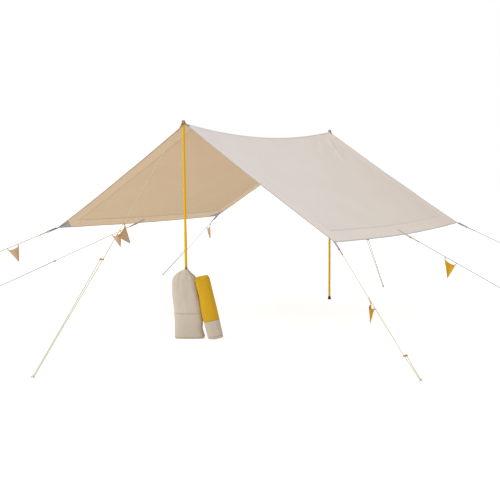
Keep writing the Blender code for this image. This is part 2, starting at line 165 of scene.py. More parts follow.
def taut_place(s, t, side):
    """Where a point of the sheet lies before its folds."""
    s = np.abs(s)
    out, height, slope = eave_line(t, side)
    bow = 1 - (t / HALF_RIDGE) ** 2
    pull = np.where(side > 0, RIGHT["pull"], LEFT["pull"]) * bow
    down = s / wing_length(side)
    ridge = APEX_HEIGHT - RIDGE_SAG * bow
    eave = height - pull * np.sin(slope)
    sag = np.where(side > 0, RIGHT["sag"], LEFT["sag"]) * 4 * down * (1 - down)
    return np.stack([side * down * (out + pull * np.cos(slope)), t + 0 * s,
                     ridge + (eave - ridge) * down - sag], axis=-1) + SHIFT


def normals_of(place, s, t, side):
    """Outward normals of a surface that place gives, taken on one wing."""
    step = 0.002
    distance = np.abs(s)
    across = place(side * (distance + step), t, side) - place(side * np.maximum(distance - step, 0), t, side)
    along = place(s, t + step, side) - place(s, t - step, side)
    return unit(np.cross(across * np.asarray(side)[..., None], along))


def crease(s, t, start, end, width, height, bend=0.0):
    """A soft fold between two points of the sheet, fading at its ends."""
    run = np.array(end) - np.array(start)
    length = math.hypot(*run)
    forward = ((s - start[0]) * run[0] + (t - start[1]) * run[1]) / length ** 2
    aside = ((t - start[1]) * run[0] - (s - start[0]) * run[1]) / length
    aside = aside - bend * 4 * forward * (1 - forward)
    ends = smooth_step(forward / 0.3) * smooth_step((1 - forward) / 0.3)
    return height * ends * np.exp(-(aside / width) ** 2)


def hold_fans(s, t):
    """Folds that fan out of the holds, where the guys pull."""
    total = np.zeros(np.broadcast(s, t).shape)
    for number, (hold_s, hold_t, reach, size) in enumerate((
            (RIGHT_LENGTH, -HALF_RIDGE, 0.50, 0.0011), (RIGHT_LENGTH, HALF_RIDGE, 0.55, 0.0013),
            (-LEFT_LENGTH, -HALF_RIDGE, 0.55, 0.0012), (-LEFT_LENGTH, HALF_RIDGE, 0.45, 0.0012),
            (RIGHT_LENGTH, RIGHT["middle"], 0.40, 0.0010), (-LEFT_LENGTH, LEFT["middle"], 0.40, 0.0010),
            (0.0, -HALF_RIDGE, 0.55, 0.0012), (0.0, HALF_RIDGE, 0.65, 0.0018))):
        away_s = s - hold_s
        away_t = t - hold_t
        distance = np.hypot(away_s, away_t) + 1e-6
        angle = np.arctan2(away_s, away_t)
        wave = np.cos(angle * 17 + 3 * soft_noise(distance * 3 + 7, angle * 2 + 9, number))
        rise = (distance / reach) * np.exp(1 - distance / reach * 1.6)
        total = total + size * wave * rise
    return total


def side_puckers(s, t):
    """Short slanting puckers beside the bands of the sloping edges."""
    total = np.zeros(np.broadcast(s, t).shape)
    for wing, end, size, seed in ((1, 1, 0.0022, 3), (1, -1, 0.0006, 4),
                                  (-1, -1, 0.0008, 5), (-1, 1, 0.0009, 6)):
        depth = HALF_RIDGE - BAND_WIDTH - end * t
        here = np.where(np.sign(s) == wing, 1.0, 0.0)
        phase = (0.787 * np.abs(s) + 0.617 * end * t) / 0.082
        phase = phase + 0.8 * soft_noise(np.abs(s) * 5 + 3, t * 5 + 8, seed)
        along = 0.5 + 0.5 * soft_noise(np.abs(s) * 2.3 + seed, t * 0.5 + 5, seed + 20)
        inside = smooth_step(depth / 0.03) * np.exp(-np.maximum(depth, 0) / 0.16)
        total = total + here * size * np.cos(2 * math.pi * phase) * along * inside
    return total


def wing_length(side):
    """From the ridge to the eave of a point's own wing, along the cloth."""
    return np.where(side > 0, RIGHT_LENGTH, LEFT_LENGTH)


def edge_length(s):
    """Distance from the eave of the point's own wing."""
    return wing_length(s) - np.abs(s)


def seam_puckers(s, t):
    """Small ripples that cross the seams of the bands."""
    side_depth = np.abs(HALF_RIDGE - np.abs(t) - BAND_WIDTH)
    eave_depth = np.abs(edge_length(s) - BAND_WIDTH)
    side_wave = soft_noise(s * 15 + 40, np.sign(t) * 5 + 20, 8)
    eave_wave = soft_noise(t * 15 + 40, np.sign(s) * 5 + 20, 9)
    return (0.0007 * side_wave * np.exp(-(side_depth / 0.05) ** 2)
            + 0.0007 * eave_wave * np.exp(-(eave_depth / 0.05) ** 2))


def seam_share(s, t, width):
    """How much a seam of the bands shows, from 0 to 1."""
    side_depth = HALF_RIDGE - np.abs(t) - BAND_WIDTH
    eave_depth = edge_length(s) - BAND_WIDTH
    down = np.abs(s) / wing_length(s)
    near_right = 0.12 + 0.7 * smooth_step((down - 0.78) / 0.12)
    far_right = 0.35 + 0.65 * smooth_step((down - 0.40) / 0.35)
    strength = np.where(s > 0, np.where(t < 0, near_right, far_right), 1.0)
    side = strength * np.exp(-(side_depth / width) ** 2) * (eave_depth > -0.004)
    eave = np.exp(-(eave_depth / width) ** 2) * (side_depth > -0.004)
    return np.maximum(side, eave)


def fold_height(s, t):
    """How far the folds and seams stand out of the taut sheet."""
    height = 0.0030 * soft_noise(s * 1.25 + 30, t * 1.1 + 30, 1)
    height = height + 0.0010 * soft_noise(s * 3.4 + 30, t * 2.9 + 30, 2)
    height = height + hold_fans(s, t) + side_puckers(s, t) + seam_puckers(s, t)
    for line in CREASES:
        height = height + crease(s, t, *line)
    height = height - 0.0010 * seam_share(s, t, 0.007)
    return height * smooth_step((np.abs(s) - 0.02) / 0.08)


# Soft folds seen in the cloth: start, end, width, height, and how far each bows
CREASES = [
    ((0.10, 1.30), (0.62, 0.92), 0.032, 0.0042),
    ((0.06, 1.15), (0.40, 0.70), 0.035, 0.0028, 0.02),
    ((0.30, -0.10), (1.10, 0.30), 0.045, 0.0018, 0.05),
    ((1.30, 0.90), (1.75, 0.35), 0.035, 0.0016, 0.03),
    ((1.25, -1.05), (1.62, -1.28), 0.028, 0.0015),
    ((-1.62, 0.10), (-1.30, 0.95), 0.028, 0.0042, 0.06),
    ((-1.45, -0.05), (-1.18, 0.70), 0.030, 0.0034, 0.05),
    ((-1.30, -0.42), (-1.12, -0.22), 0.024, 0.0042, 0.01),
    ((-0.95, 0.20), (-0.60, 1.00), 0.040, 0.0020, -0.06),
    ((-1.62, -1.10), (-1.20, -0.80), 0.030, 0.0020, 0.02),
    ((-0.30, -1.00), (-0.95, -0.75), 0.045, 0.0018, 0.03),
]


def outer_place(s, t, side):
    """Where a point of the sheet's outer face lies, folds and all."""
    return taut_place(s, t, side) + normals_of(taut_place, s, t, side) * fold_height(s, t)[..., None]


def cloth(s, t, depth=0.0):
    """Points at a depth below the sheet's outer face, and the normals there."""
    s, t = np.broadcast_arrays(np.asarray(s, float), np.asarray(t, float))
    side = np.where(s >= 0, 1.0, -1.0)
    normal = normals_of(outer_place, s, t, side)
    opposite = normals_of(outer_place, -s * 0, t, -side)
    share = (0.5 + 0.5 * smooth_step(np.abs(s) / 0.012))[..., None]
    normal = unit(normal * share + opposite * (1 - share))
    return outer_place(s, t, side) - normal * np.asarray(depth)[..., None], normal


# Mesh helpers

def add_object(name, mesh, *finishes, place=(0.0, 0.0, 0.0)):
    """Put a mesh into the scene as a piece that rides on the body."""
    for finish in finishes:
        mesh.materials.append(bpy.data.materials[finish])
    obj = bpy.data.objects.new(name, mesh)
    obj.location = place
    bpy.context.scene.collection.objects.link(obj)
    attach(obj, "root")
    return obj


def stand_for(piece, slot, *nodes):
    """Show a piece in place of the frame's own solids."""
    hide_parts(*nodes)


def mesh_of(name, points, faces, uvs=None):
    """A smooth mesh, with an optional UV in metres for each corner of each face."""
    mesh = bpy.data.meshes.new(name)
    faces = [list(map(int, face)) for face in faces]
    mesh.from_pydata(np.asarray(points).reshape(-1, 3).tolist(), [], faces)
    if uvs is not None:
        layer = mesh.uv_layers.new(name="metres")
        layer.data.foreach_set("uv", np.asarray(uvs, dtype=np.float32).ravel())
    mesh.shade_smooth()
    return mesh


def add_values(mesh, name, values):
    """A value for each point of a mesh, for its material to read."""
    values = values.astype(np.float32).ravel()
    mesh.attributes.new(name, "FLOAT", "POINT").data.foreach_set("value", values)


def run_along(path):
    """Each point's distance from the start of a path."""
    return np.concatenate([[0], np.cumsum(np.linalg.norm(np.diff(path, axis=0), axis=1))])


def resampled(rows, count, places=None):
    """Rows of numbers at even places between the given ones."""
    if places is None:
        places = np.arange(len(rows))
    steps = np.linspace(0, places[-1], count)
    return np.stack([np.interp(steps, places, column) for column in np.transpose(rows)], axis=-1)


def smoothed(rows, times):
    """Rows of numbers evened out, with the first and the last held."""
    for _ in range(times):
        rows[1:-1] = (rows[:-2] + 2 * rows[1:-1] + rows[2:]) / 4
    return rows


def grid_faces(columns, rows):
    """Faces of a grid of points stored column by column."""
    index = np.arange(columns * rows).reshape(columns, rows)
    corners = [index[:-1, :-1], index[1:, :-1], index[1:, 1:], index[:-1, 1:]]
    return np.stack(corners, axis=-1).reshape(-1, 4)


def wrapped_grid(run, girth, loop=False):
    """Faces and corner UVs of a tube, or of one joined up in a loop."""
    rows = len(girth) - 1
    columns = len(run) - loop
    i, j = np.meshgrid(np.arange(len(run) - 1), np.arange(rows), indexing="ij")
    corners = [(0, 0), (0, 1), (1, 1), (1, 0)]
    faces = [(i + a) % columns * rows + (j + b) % rows for a, b in corners]
    uvs = [np.stack([girth[j + b], run[i + a]], axis=-1) for a, b in corners]
    return np.stack(faces, axis=-1).reshape(-1, 4), np.stack(uvs, axis=-2).reshape(-1, 2)


def closed_tube(points, run, girth):
    """A tube's points, its faces with both ends closed, and its corner UVs."""
    faces, uvs = wrapped_grid(run, girth)
    index = np.arange(len(run) * (len(girth) - 1)).reshape(len(run), -1)
    faces = [*faces.tolist(), index[0, ::-1].tolist(), index[-1].tolist()]
    return points.reshape(-1, 3), faces, np.concatenate([uvs, np.zeros((2 * index.shape[1], 2))])


def triangle_grid(steps):
    """Row and column of each point of a three-cornered grid, and its faces."""
    spots = [(row, column) for row in range(steps + 1) for column in range(steps + 1 - row)]
    index = {spot: number for number, spot in enumerate(spots)}
    faces = []
    for row, column in spots:
        if row + column < steps:
            faces.append((index[row, column], index[row + 1, column], index[row, column + 1]))
        if row + column < steps - 1:
            faces.append((index[row, column + 1], index[row + 1, column], index[row + 1, column + 1]))
    return spots, faces


def thicken(obj, thickness, offset=-1.0, underside=0):
    """Give a sheet its thickness, with its underside's finish so many slots on."""
    solidify = obj.modifiers.new("thickness", "SOLIDIFY")
    solidify.thickness = thickness
    solidify.offset = offset
    solidify.use_even_offset = True
    solidify.material_offset = underside
    solidify.material_offset_rim = underside


def ribbon(name, rows, thickness, finish):
    """Webbing or tape from rows of points across its width."""
    rows = np.asarray(rows)
    count, across = rows.shape[:2]
    faces = grid_faces(count, across)
    run = run_along(rows[:, across // 2])
    width = np.linspace(0, np.linalg.norm(rows[0, 0] - rows[0, -1]), across)
    flat = np.stack(np.meshgrid(run, width, indexing="ij"), axis=-1).reshape(-1, 2)
    obj = add_object(name, mesh_of(name, rows, faces, flat[faces]), finish)
    thicken(obj, thickness, 0.0)
    return obj


def tube_arrays(path, radius, sides=8, up=(0, 0, 1)):
    """Points, faces and UVs of a round cord along a path, with closed ends."""
    path = np.asarray(path, float)
    tangents = unit(np.gradient(path, axis=0))
    hint = np.array(up, float)
    if abs(hint @ tangents[0]) > 0.95:
        hint = np.array((0.0, 1.0, 0.0))
    frames = [unit(hint - (hint @ tangents[0]) * tangents[0])]
    for tangent in tangents[1:]:
        frames.append(unit(frames[-1] - (frames[-1] @ tangent) * tangent))
    frames = np.array(frames)
    beside = np.cross(tangents, frames)
    turns = np.linspace(0, 2 * math.pi, sides, endpoint=False)[:, None]
    points = path[:, None] + radius * (np.cos(turns) * frames[:, None] + np.sin(turns) * beside[:, None])
    return closed_tube(points, run_along(path), np.linspace(0, 2 * math.pi * radius, sides + 1))


def tubes(name, parts, finish):
    """One piece made of one or more round cords."""
    points, faces, uvs = zip(*parts)
    offsets = np.cumsum([0, *map(len, points)])
    joined = [[index + offset for index in face] for offset, part in zip(offsets, faces) for face in part]
    return add_object(name, mesh_of(name, np.concatenate(points), joined, np.concatenate(uvs)), finish)


def torus(name, centre, axis_a, axis_b, radius, wire, count=32, sides=10):
    """A closed wire ring."""
    around = np.linspace(0, 2 * math.pi, count + 1)
    turns = np.linspace(0, 2 * math.pi, sides, endpoint=False)[:, None]
    out = np.cos(around[:-1, None]) * axis_a + np.sin(around[:-1, None]) * axis_b
    points = (centre + out[:, None] * (radius + wire * np.cos(turns))
              + np.cross(axis_a, axis_b) * wire * np.sin(turns))
    faces = wrapped_grid(around, np.arange(sides + 1), loop=True)[0]
    return add_object(name, mesh_of(name, points, faces[:, ::-1]), "ring_metal")


# Materials

def node(tree, kind, inputs=None, **settings):
    """A shader node with its settings, and values or sockets for its inputs."""
    made = tree.nodes.new(kind)
    for key, value in settings.items():
        setattr(made, key, value)
    for key, value in (inputs or {}).items():
        if isinstance(value, bpy.types.NodeSocket):
            tree.links.new(value, made.inputs[key])
        else:
            made.inputs[key].default_value = value
    return made


def maths(tree, operation, first, second=0.0):
    """One sum, and its result."""
    return node(tree, "ShaderNodeMath", {0: first, 1: second}, operation=operation).outputs[0]


def linear(colour):
    """A linear colour from a screen colour of 0 to 255."""
    scaled = [channel / 255 for channel in colour]
    return tuple(c / 12.92 if c <= 0.04045 else ((c + 0.055) / 1.055) ** 2.4 for c in scaled) + (1.0,)


def shade(colour, factor):
    """A linear colour made darker or lighter."""
    return tuple(min(1.0, channel * factor) for channel in colour[:3]) + (1.0,)


def start_material(name, roughness, metallic=0.0, gloss=0.5):
    """A material's node tree and its shader."""
    material = bpy.data.materials.new(name)
    material.use_nodes = True
    shader = material.node_tree.nodes["Principled BSDF"]
    shader.inputs["Roughness"].default_value = roughness
    shader.inputs["Metallic"].default_value = metallic
    shader.inputs["Specular IOR Level"].default_value = gloss
    return material.node_tree, shader


def finish_shader(tree, shader, colour, height, strength, depth):
    """Link a material's colour and its fine relief to its shader."""
    tree.links.new(colour, shader.inputs["Base Color"])
    bump = node(tree, "ShaderNodeBump", {"Height": height, "Strength": strength, "Distance": depth})
    tree.links.new(bump.outputs[0], shader.inputs["Normal"])


def blend_colour(tree, share, first, second, kind="MIX"):
    """A mix of two colours by a share from 0 to 1."""
    mix = node(tree, "ShaderNodeMix", {0: share, 6: first, 7: second}, data_type="RGBA", blend_type=kind)
    return mix.outputs[2]


def turned_colour(tree, share, colour, base, other):
    """A colour that turns from its base to another by a share from 0 to 1."""
    tint = tuple(a / b for a, b in zip(linear(other)[:3], base[:3])) + (1.0,)
    return blend_colour(tree, share, colour, blend_colour(tree, 1.0, colour, tint, "MULTIPLY"))


def noise(tree, place, scale, detail):
    """The value of a noise texture."""
    return node(tree, "ShaderNodeTexNoise", {"Vector": place, "Scale": scale, "Detail": detail}).outputs[0]


def stretched_noise(tree, place, scales, detail):
    """The value of a noise texture that has its own scale along each axis."""
    stretched = node(tree, "ShaderNodeVectorMath", {0: place, 1: scales}, operation="MULTIPLY").outputs[0]
    return noise(tree, stretched, 1.0, detail)


def ramp(tree, value, start, end, low=0.0, high=1.0, **settings):
    """A value carried over from one span to another."""
    limits = {0: value, 1: start, 2: end, 3: low, 4: high}
    return node(tree, "ShaderNodeMapRange", limits, **settings).outputs[0]


def weighted(tree, first, share, second=0.0):
    """One value times a share, plus another."""
    return maths(tree, "ADD", maths(tree, "MULTIPLY", first, share), second)


def sine(tree, value, length):
    """A wave of a value, with one swing in every length."""
    return maths(tree, "SINE", maths(tree, "MULTIPLY", value, 2 * math.pi / length))


def metres(tree):
    """The place on the cloth, whole and as its two parts."""
    place = node(tree, "ShaderNodeUVMap", uv_map="metres").outputs[0]
    parts = node(tree, "ShaderNodeSeparateXYZ", {0: place}).outputs
    return place, parts[0], parts[1]


def attribute(tree, name):
    """A value that a mesh gives at each point."""
    return node(tree, "ShaderNodeAttribute", attribute_name=name).outputs["Fac"]


def woven(name, colour, thread=0.0007, mottling=0.05, seam_and_shade_colour=None, band_colour=None, shading_drifts=()):
    """Plain-woven cloth: threads, slubs and soft changes of tone, with painted light and shade in its drifts
    and partly painted shade in its seams.
    """
    tree, shader = start_material(name, 0.9, gloss=0.2)
    place, *parts = metres(tree)
    waves = [sine(tree, part, thread) for part in parts]
    slub_scales = ((90.0, 1400.0, 1.0), (1400.0, 90.0, 1.0))
    slubs = [stretched_noise(tree, place, scales, 1.0) for scales in slub_scales]
    threads = maths(tree, "MULTIPLY", maths(tree, "ADD", *slubs), 0.5)
    tone = maths(tree, "MULTIPLY", threads, 0.2)
    tone = weighted(tree, noise(tree, place, 45.0, 3.0), 0.25, tone)
    tone = weighted(tree, noise(tree, place, 2.2, 4.0), 0.55, tone)
    base = linear(colour)
    result = blend_colour(tree, ramp(tree, tone, 0.3, 0.7), shade(base, 1 - mottling),
                          shade(base, 1 + mottling * 0.6))
    # Each drift turns the colour across the cloth: painted light and shade
    for other, axis, low_at, high_at in shading_drifts:
        result = turned_colour(tree, ramp(tree, parts[axis], low_at, high_at), result, base, other)
    if band_colour:
        result = turned_colour(tree, attribute(tree, "band"), result, base, band_colour)
    # The seam value darkens the colour: partly the thread, partly painted shade in grooves and at a bag's
    # foot
    if seam_and_shade_colour:
        result = blend_colour(tree, attribute(tree, "seam"), result, linear(seam_and_shade_colour))
    height = weighted(tree, threads, 1.6, maths(tree, "MULTIPLY", *waves))
    finish_shader(tree, shader, result, height, 0.5, 0.00012)


def webbing(name, colour):
    """Woven tape with chevron ribs along its length."""
    tree, shader = start_material(name, 0.75)
    place, along, across = metres(tree)
    slant = weighted(tree, maths(tree, "PINGPONG", across, 0.0022), 1.2, along)
    wave = sine(tree, slant, 0.0016)
    tone = weighted(tree, wave, 0.18, noise(tree, place, 260.0, 3.0))
    base = linear(colour)
    mix = blend_colour(tree, tone, shade(base, 0.78), shade(base, 1.12))
    finish_shader(tree, shader, mix, wave, 0.6, 0.0002)


def braided(name, colour, fleck, girth=0.0214, pitch=0.004):
    """Braided cord: crossing strands round a tube whose UVs are in metres."""
    tree, shader = start_material(name, 0.8)
    place, around, along = metres(tree)
    turn = maths(tree, "MULTIPLY", around, 8 * math.pi / girth)
    climb = maths(tree, "MULTIPLY", along, 2 * math.pi / pitch)
    crossed = [maths(tree, "SINE", maths(tree, kind, turn, climb)) for kind in ("ADD", "SUBTRACT")]
    braid = maths(tree, "MAXIMUM", *crossed)
    tone = weighted(tree, braid, 0.3, maths(tree, "MULTIPLY", noise(tree, place, 500.0, 2.0), 0.7))
    mix = blend_colour(tree, tone, linear(fleck), linear(colour))
    finish_shader(tree, shader, mix, braid, 0.7, 0.0004)


def metal(name, colour, roughness, metallic=1.0, wear=0.15, gloss=0.5):
    """Metal with fine drawn lines and a slightly uneven polish."""
    tree, shader = start_material(name, roughness, metallic, gloss)
    place = node(tree, "ShaderNodeTexCoord").outputs["Object"]
    lines = stretched_noise(tree, place, (600.0, 600.0, 12.0), 3.0)
    tone = maths(tree, "MULTIPLY", maths(tree, "ADD", lines, noise(tree, place, 9.0, 4.0)), 0.5)
    base = linear(colour)
    rough = ramp(tree, lines, 0.3, 0.7, roughness - 0.06, roughness + 0.08)
    tree.links.new(rough, shader.inputs["Roughness"])
    finish_shader(tree, shader, blend_colour(tree, tone, shade(base, 1 - wear), base), lines, 0.15, 0.0001)


def moulded(name, colour, roughness):
    """Moulded plastic or rubber with a fine grain."""
    tree, shader = start_material(name, roughness)
    place = node(tree, "ShaderNodeTexCoord").outputs["Object"]
    base = linear(colour)
    mix = blend_colour(tree, noise(tree, place, 60.0, 3.0), shade(base, 0.75), base)
    finish_shader(tree, shader, mix, noise(tree, place, 900.0, 2.0), 0.3, 0.0002)


def make_materials():
    """Every finish, found later by its material's name."""
    # Outside: painted light and shade, darkening from the ridge down to the right eave and from the near end
    # to the far end
    woven("canopy_outside", (225, 218, 214), mottling=0.035, seam_and_shade_colour=(204, 196, 190),
          band_colour=(228, 220, 217),
          shading_drifts=(((221, 212, 204), 0, 0.2, 1.9), ((216, 206, 197), 1, -1.3, 1.3)))
    # Underside: its warm tan is partly the cloth's own tone and partly painted light shining through the
    # cloth; its drifts paint shade, darker towards the left eave and the far end
    woven("canopy_underside", (204, 180, 150), mottling=0.045, seam_and_shade_colour=(188, 163, 133),
          shading_drifts=(((199, 176, 144), 0, -0.2, -1.7), ((198, 174, 144), 1, -0.4, 1.2)))
    woven("band_underside", (209, 185, 154), mottling=0.045, seam_and_shade_colour=(188, 163, 133),
          shading_drifts=(((202, 179, 150), 0, -0.2, -1.9),))
    woven("edge_binding", (192, 185, 178), 0.0005)
    # A darker, browner copy of the binding for its part below the edge: painted shade
    woven("binding_underside", (158, 134, 110), 0.0005)
    woven("corner_patch", (152, 145, 147), 0.0006)
    woven("sewing_thread", (200, 190, 176), 0.0004)
    webbing("grey_webbing", (140, 134, 136))
    webbing("shaded_webbing", (122, 115, 114))
    webbing("pale_webbing", (186, 180, 174))
    webbing("dark_webbing", (138, 130, 136))
    webbing("lilac_webbing", (168, 160, 168))
    metal("ring_metal", (66, 60, 62), 0.6, 0.0, gloss=0.1)
    braided("tan_shock_cord", (198, 150, 72), (152, 110, 50), 0.0163)
    braided("pale_shock_cord", (192, 170, 130), (152, 130, 92), 0.0163)
    braided("knot_cord", (168, 134, 60), (122, 94, 42), 0.012)
    # One cord in two copies: painted shade for most lines, painted light for the lit ones
    braided("ivory_cord", (164, 158, 131), (134, 128, 103))
    braided("pale_ivory_cord", (206, 198, 166), (184, 174, 138))
    moulded("runner_plastic", (186, 132, 40), 0.45)
    metal("pole_anodised", (215, 167, 10), 0.55, 0.0, 0.08, gloss=0.0)
    moulded("foot_rubber", (34, 33, 33), 0.65)
    metal("peg_steel", (168, 166, 162), 0.3)
    woven("tan_pennant", (186, 152, 122), 0.0005)
    woven("gold_pennant", (190, 146, 26), 0.0005)
    webbing("gold_tape", (196, 144, 32))
    braided("gold_cord", (204, 162, 26), (162, 120, 14), 0.0176)
    # Canvas bag: its drifts paint shade and light bounced from the pole bag on its right side, and make it
    # darker towards the bottom
    woven("canvas_bag_cloth", (191, 179, 163), 0.0008, 0.07, (142, 126, 106),
          shading_drifts=(((184, 171, 153), 1, 0.28, 0.0), ((174, 152, 122), 0, 0.50, 0.60)))
    # The bags' seam colours also paint the contact shadow at each bag's foot
    woven("mustard_bag_cloth", (194, 151, 28), 0.0006, 0.07, (140, 100, 18))
    woven("bag_panel", (186, 172, 156), 0.0006, 0.06, (132, 114, 92))
    braided("bag_drawcord", (176, 140, 84), (120, 90, 50), 0.014)
    moulded("cord_lock", (70, 68, 74), 0.5)


# The sewn canopy

def spaced_lines(keys):
    """Grid lines through every key value, about a cell apart between them."""
    lines = [keys[0]]
    for start, end in zip(keys, keys[1:]):
        count = max(1, round((end - start) / CELL))
        lines.extend(np.linspace(start, end, count + 1)[1:])
    return np.array(lines)


def seam_keys(edge):
    """Lines close together at a band's seam, for a sharp groove."""
    seam = edge - math.copysign(BAND_WIDTH, edge)
    return [seam + offset for offset in (-0.016, -0.009, -0.004, 0.0, 0.004, 0.009, 0.016)]


def cloth_lines():
    """Grid lines of the whole sheet across the ridge and along it."""
    across = [-LEFT_LENGTH, *seam_keys(-LEFT_LENGTH), -0.022, 0.0,
              0.022, *seam_keys(RIGHT_LENGTH), RIGHT_LENGTH]
    along = [-HALF_RIDGE, *seam_keys(-HALF_RIDGE), *seam_keys(HALF_RIDGE), HALF_RIDGE]
    return spaced_lines(across), spaced_lines(along)


def band_inset(flat):
    """How far inside the seams of the bands each point is."""
    s, t = np.transpose(flat)
    return np.minimum(HALF_RIDGE - np.abs(t), edge_length(s)) - BAND_WIDTH


def sheet_piece(name, s_lines, t_lines, depth, thickness, *finishes, bands_only=False):
    """The sewn sheet, or only its bands, as a layer of its own."""
    s, t = np.meshgrid(s_lines, t_lines, indexing="ij")
    points = cloth(s, t, depth)[0]
    faces = grid_faces(len(s_lines), len(t_lines))
    flat = np.stack([s, t], axis=-1).reshape(-1, 2)
    if bands_only:
        faces = faces[band_inset(flat[faces].mean(axis=1)) < 0]
    used, compact = np.unique(faces, return_inverse=True)
    faces = compact.reshape(faces.shape)
    flat = flat[used]
    mesh = mesh_of(name, points.reshape(-1, 3)[used], faces, flat[faces])
    # The seam value darkens the seams' line: partly the thread, partly painted shade in the stitched groove
    add_values(mesh, "seam", seam_share(*flat.T, 0.009))
    add_values(mesh, "band", smooth_step(0.5 - band_inset(flat) / 0.016))
    obj = add_object(name, mesh, *finishes)
    thicken(obj, thickness, underside=len(finishes) - 1)
    return obj


def perimeter():
    """Points round the sheet's edge, and the flat direction out of each."""
    s_lines, t_lines = cloth_lines()
    route = [(s_lines[0], t) for t in t_lines[:-1]] + [(s, t_lines[-1]) for s in s_lines[:-1]]
    route += [(s_lines[-1], t) for t in t_lines[:0:-1]] + [(s, t_lines[0]) for s in s_lines[:0:-1]]
    route = np.array(route)
    return route, 1.0 * (route == (s_lines[-1], t_lines[-1])) - (route == (s_lines[0], t_lines[0]))


def edge_binding():
    """Narrow tape folded over the raw edge of the sheet and sewn down."""
    route, outward = perimeter()
    below = BAND_TOP + BAND
    profile = [(-0.0115, -0.0001), (-0.0115, -0.0007), (-0.004, -0.0010), (0.0006, -0.0008),
               (0.0014, 0.0002), (0.0016, below / 2), (0.0014, below - 0.0002), (0.0006, below + 0.0008),
               (-0.004, below + 0.0010), (-0.0115, below + 0.0007), (-0.0115, below + 0.0001),
               (0.0002, below + 0.0001), (0.0006, below / 2), (0.0002, -0.0001)]
    points = np.stack([cloth(*(route + outward * out).T, depth)[0] for out, depth in profile], axis=1)
    count, sides = points.shape[:2]
    run = run_along(points[:, 2])
    faces, uvs = wrapped_grid(np.append(run, run[-1] + CELL), np.linspace(0, 0.026, sides + 1), loop=True)
    mesh = mesh_of("edge_binding", points, faces, uvs[:, ::-1])
    binding = add_object("edge_binding", mesh, "edge_binding", "binding_underside")
    # The binding's faces below the edge take its darker copy: painted shade
    below_edge = (np.arange(sides) >= 5) & (np.arange(sides) <= 10)
    mesh.polygons.foreach_set("material_index", np.tile(below_edge.astype(np.int32), count))
    return binding


def corner_patches():
    """Three-cornered reinforcements under the four corners."""
    spots, faces = triangle_grid(9)
    down, beside = np.transpose(spots) / 9
    pieces = []
    for name, wing, end in (("near_right_patch", 1, -1), ("far_right_patch", 1, 1),
                            ("near_left_patch", -1, -1), ("far_left_patch", -1, 1)):
        flat = np.stack([wing * (wing_length(wing) - 0.001 - 0.175 * down),
                         end * (HALF_RIDGE - 0.001 - 0.22 * beside)], axis=-1)
        turned = [list(face)[::wing * end] for face in faces]
        mesh = mesh_of(name, cloth(*flat.T, PATCH_TOP)[0], turned, flat[np.array(turned)])
        patch = add_object(name, mesh, "corner_patch")
        thicken(patch, PATCH)
        pieces.append(patch)
    return pieces


def stitch_line(start, end, depth):
    """Stitches along a straight line of the sheet, on it or under it."""
    start = np.array(start, float)
    run = np.array(end, float) - start
    distance = math.hypot(*run)
    count = max(1, int(distance / STITCH_PITCH))
    middles = start + run * ((np.arange(count) + 0.5) / count)[:, None]
    half = run / distance * STITCH_LENGTH / 2
    face = 1.0 if depth <= 0 else -1.0
    points, normals = cloth(middles[:, 0], middles[:, 1], depth)
    ahead = cloth(middles[:, 0] + half[0], middles[:, 1] + half[1], depth)[0]
    forward = ahead - points
    normals = normals * face
    beside = unit(np.cross(normals, forward)) * STITCH_HALF_WIDTH
    top = points + normals * 0.00045
    sink = points - normals * 0.0001
    return np.stack([sink - forward - beside, sink + forward - beside, sink + forward + beside,
                     sink - forward + beside, top - forward * 0.6, top + forward * 0.6], axis=1)


def stitches(name, lines):
    """Rows of sewing thread as one piece, each stitch a small closed ridge."""
    blocks = np.concatenate([stitch_line(*line) for line in lines])
    ridge = [(0, 3, 2, 1), (0, 1, 5, 4), (2, 3, 4, 5), (0, 4, 3), (1, 2, 5)]
    faces = [[6 * number + index for index in face] for number in range(len(blocks)) for face in ridge]
    corners = np.concatenate(faces)
    flat = np.stack([corners // 6 * STITCH_PITCH + corners % 6 * 0.001,
                     STITCH_HALF_WIDTH * (corners % 2)], axis=-1)
    return add_object(name, mesh_of(name, blocks, faces, flat), "sewing_thread")


def seam_rows():
    """Where the thread runs: the bands' seams, the binding and the ridge."""
    under = BAND_TOP + BAND
    rows = []
    for inset, layers in ((BAND_WIDTH + 0.0018, (0.0, SHEET)), (BAND_WIDTH - 0.0018, (0.0, under)),
                          (0.0085, (-0.0009, under + 0.0009))):
        left = inset - LEFT_LENGTH
        right = RIGHT_LENGTH - inset
        end = HALF_RIDGE - inset
        for layer in layers:
            for row in (-end, end):
                rows.append(((left, row), (-0.03, row), layer))
                rows.append(((0.03, row), (right, row), layer))
            for column in (left, right):
                rows.append(((column, -end), (column, end), layer))
    for side in (-0.016, 0.016):
        rows.append(((side, -HALF_RIDGE + 0.02), (side, HALF_RIDGE - 0.02), -0.0008))
    return rows


def build_canopy():
    """The sheet with everything sewn to it."""
    s_lines, t_lines = cloth_lines()
    canopy = sheet_piece("canopy", s_lines, t_lines, 0.0, SHEET, "canopy_outside", "canopy_underside")
    bands = sheet_piece("edge_band", s_lines, t_lines, BAND_TOP, BAND, "band_underside", bands_only=True)
    cover_lines = np.array((-0.020, -0.010, 0.0, 0.010, 0.020))
    cover = sheet_piece("ridge_cover", cover_lines, t_lines, -0.0009, 0.0007, "canopy_outside")
    tape_lines = np.array((-0.0125, -0.006, 0.0, 0.006, 0.0125))
    inner = t_lines[np.abs(t_lines) < HALF_RIDGE - 0.11]
    tape = sheet_piece("ridge_tape", tape_lines, inner, 0.0030, 0.0010, "canopy_underside")
    sewn = [bands, cover, tape, edge_binding(), *corner_patches(), stitches("sheet_stitching", seam_rows())]
    stand_for(canopy, "canopy", "right_wing", "left_wing", "ridge_seam")


# Straps, rings and guy lines

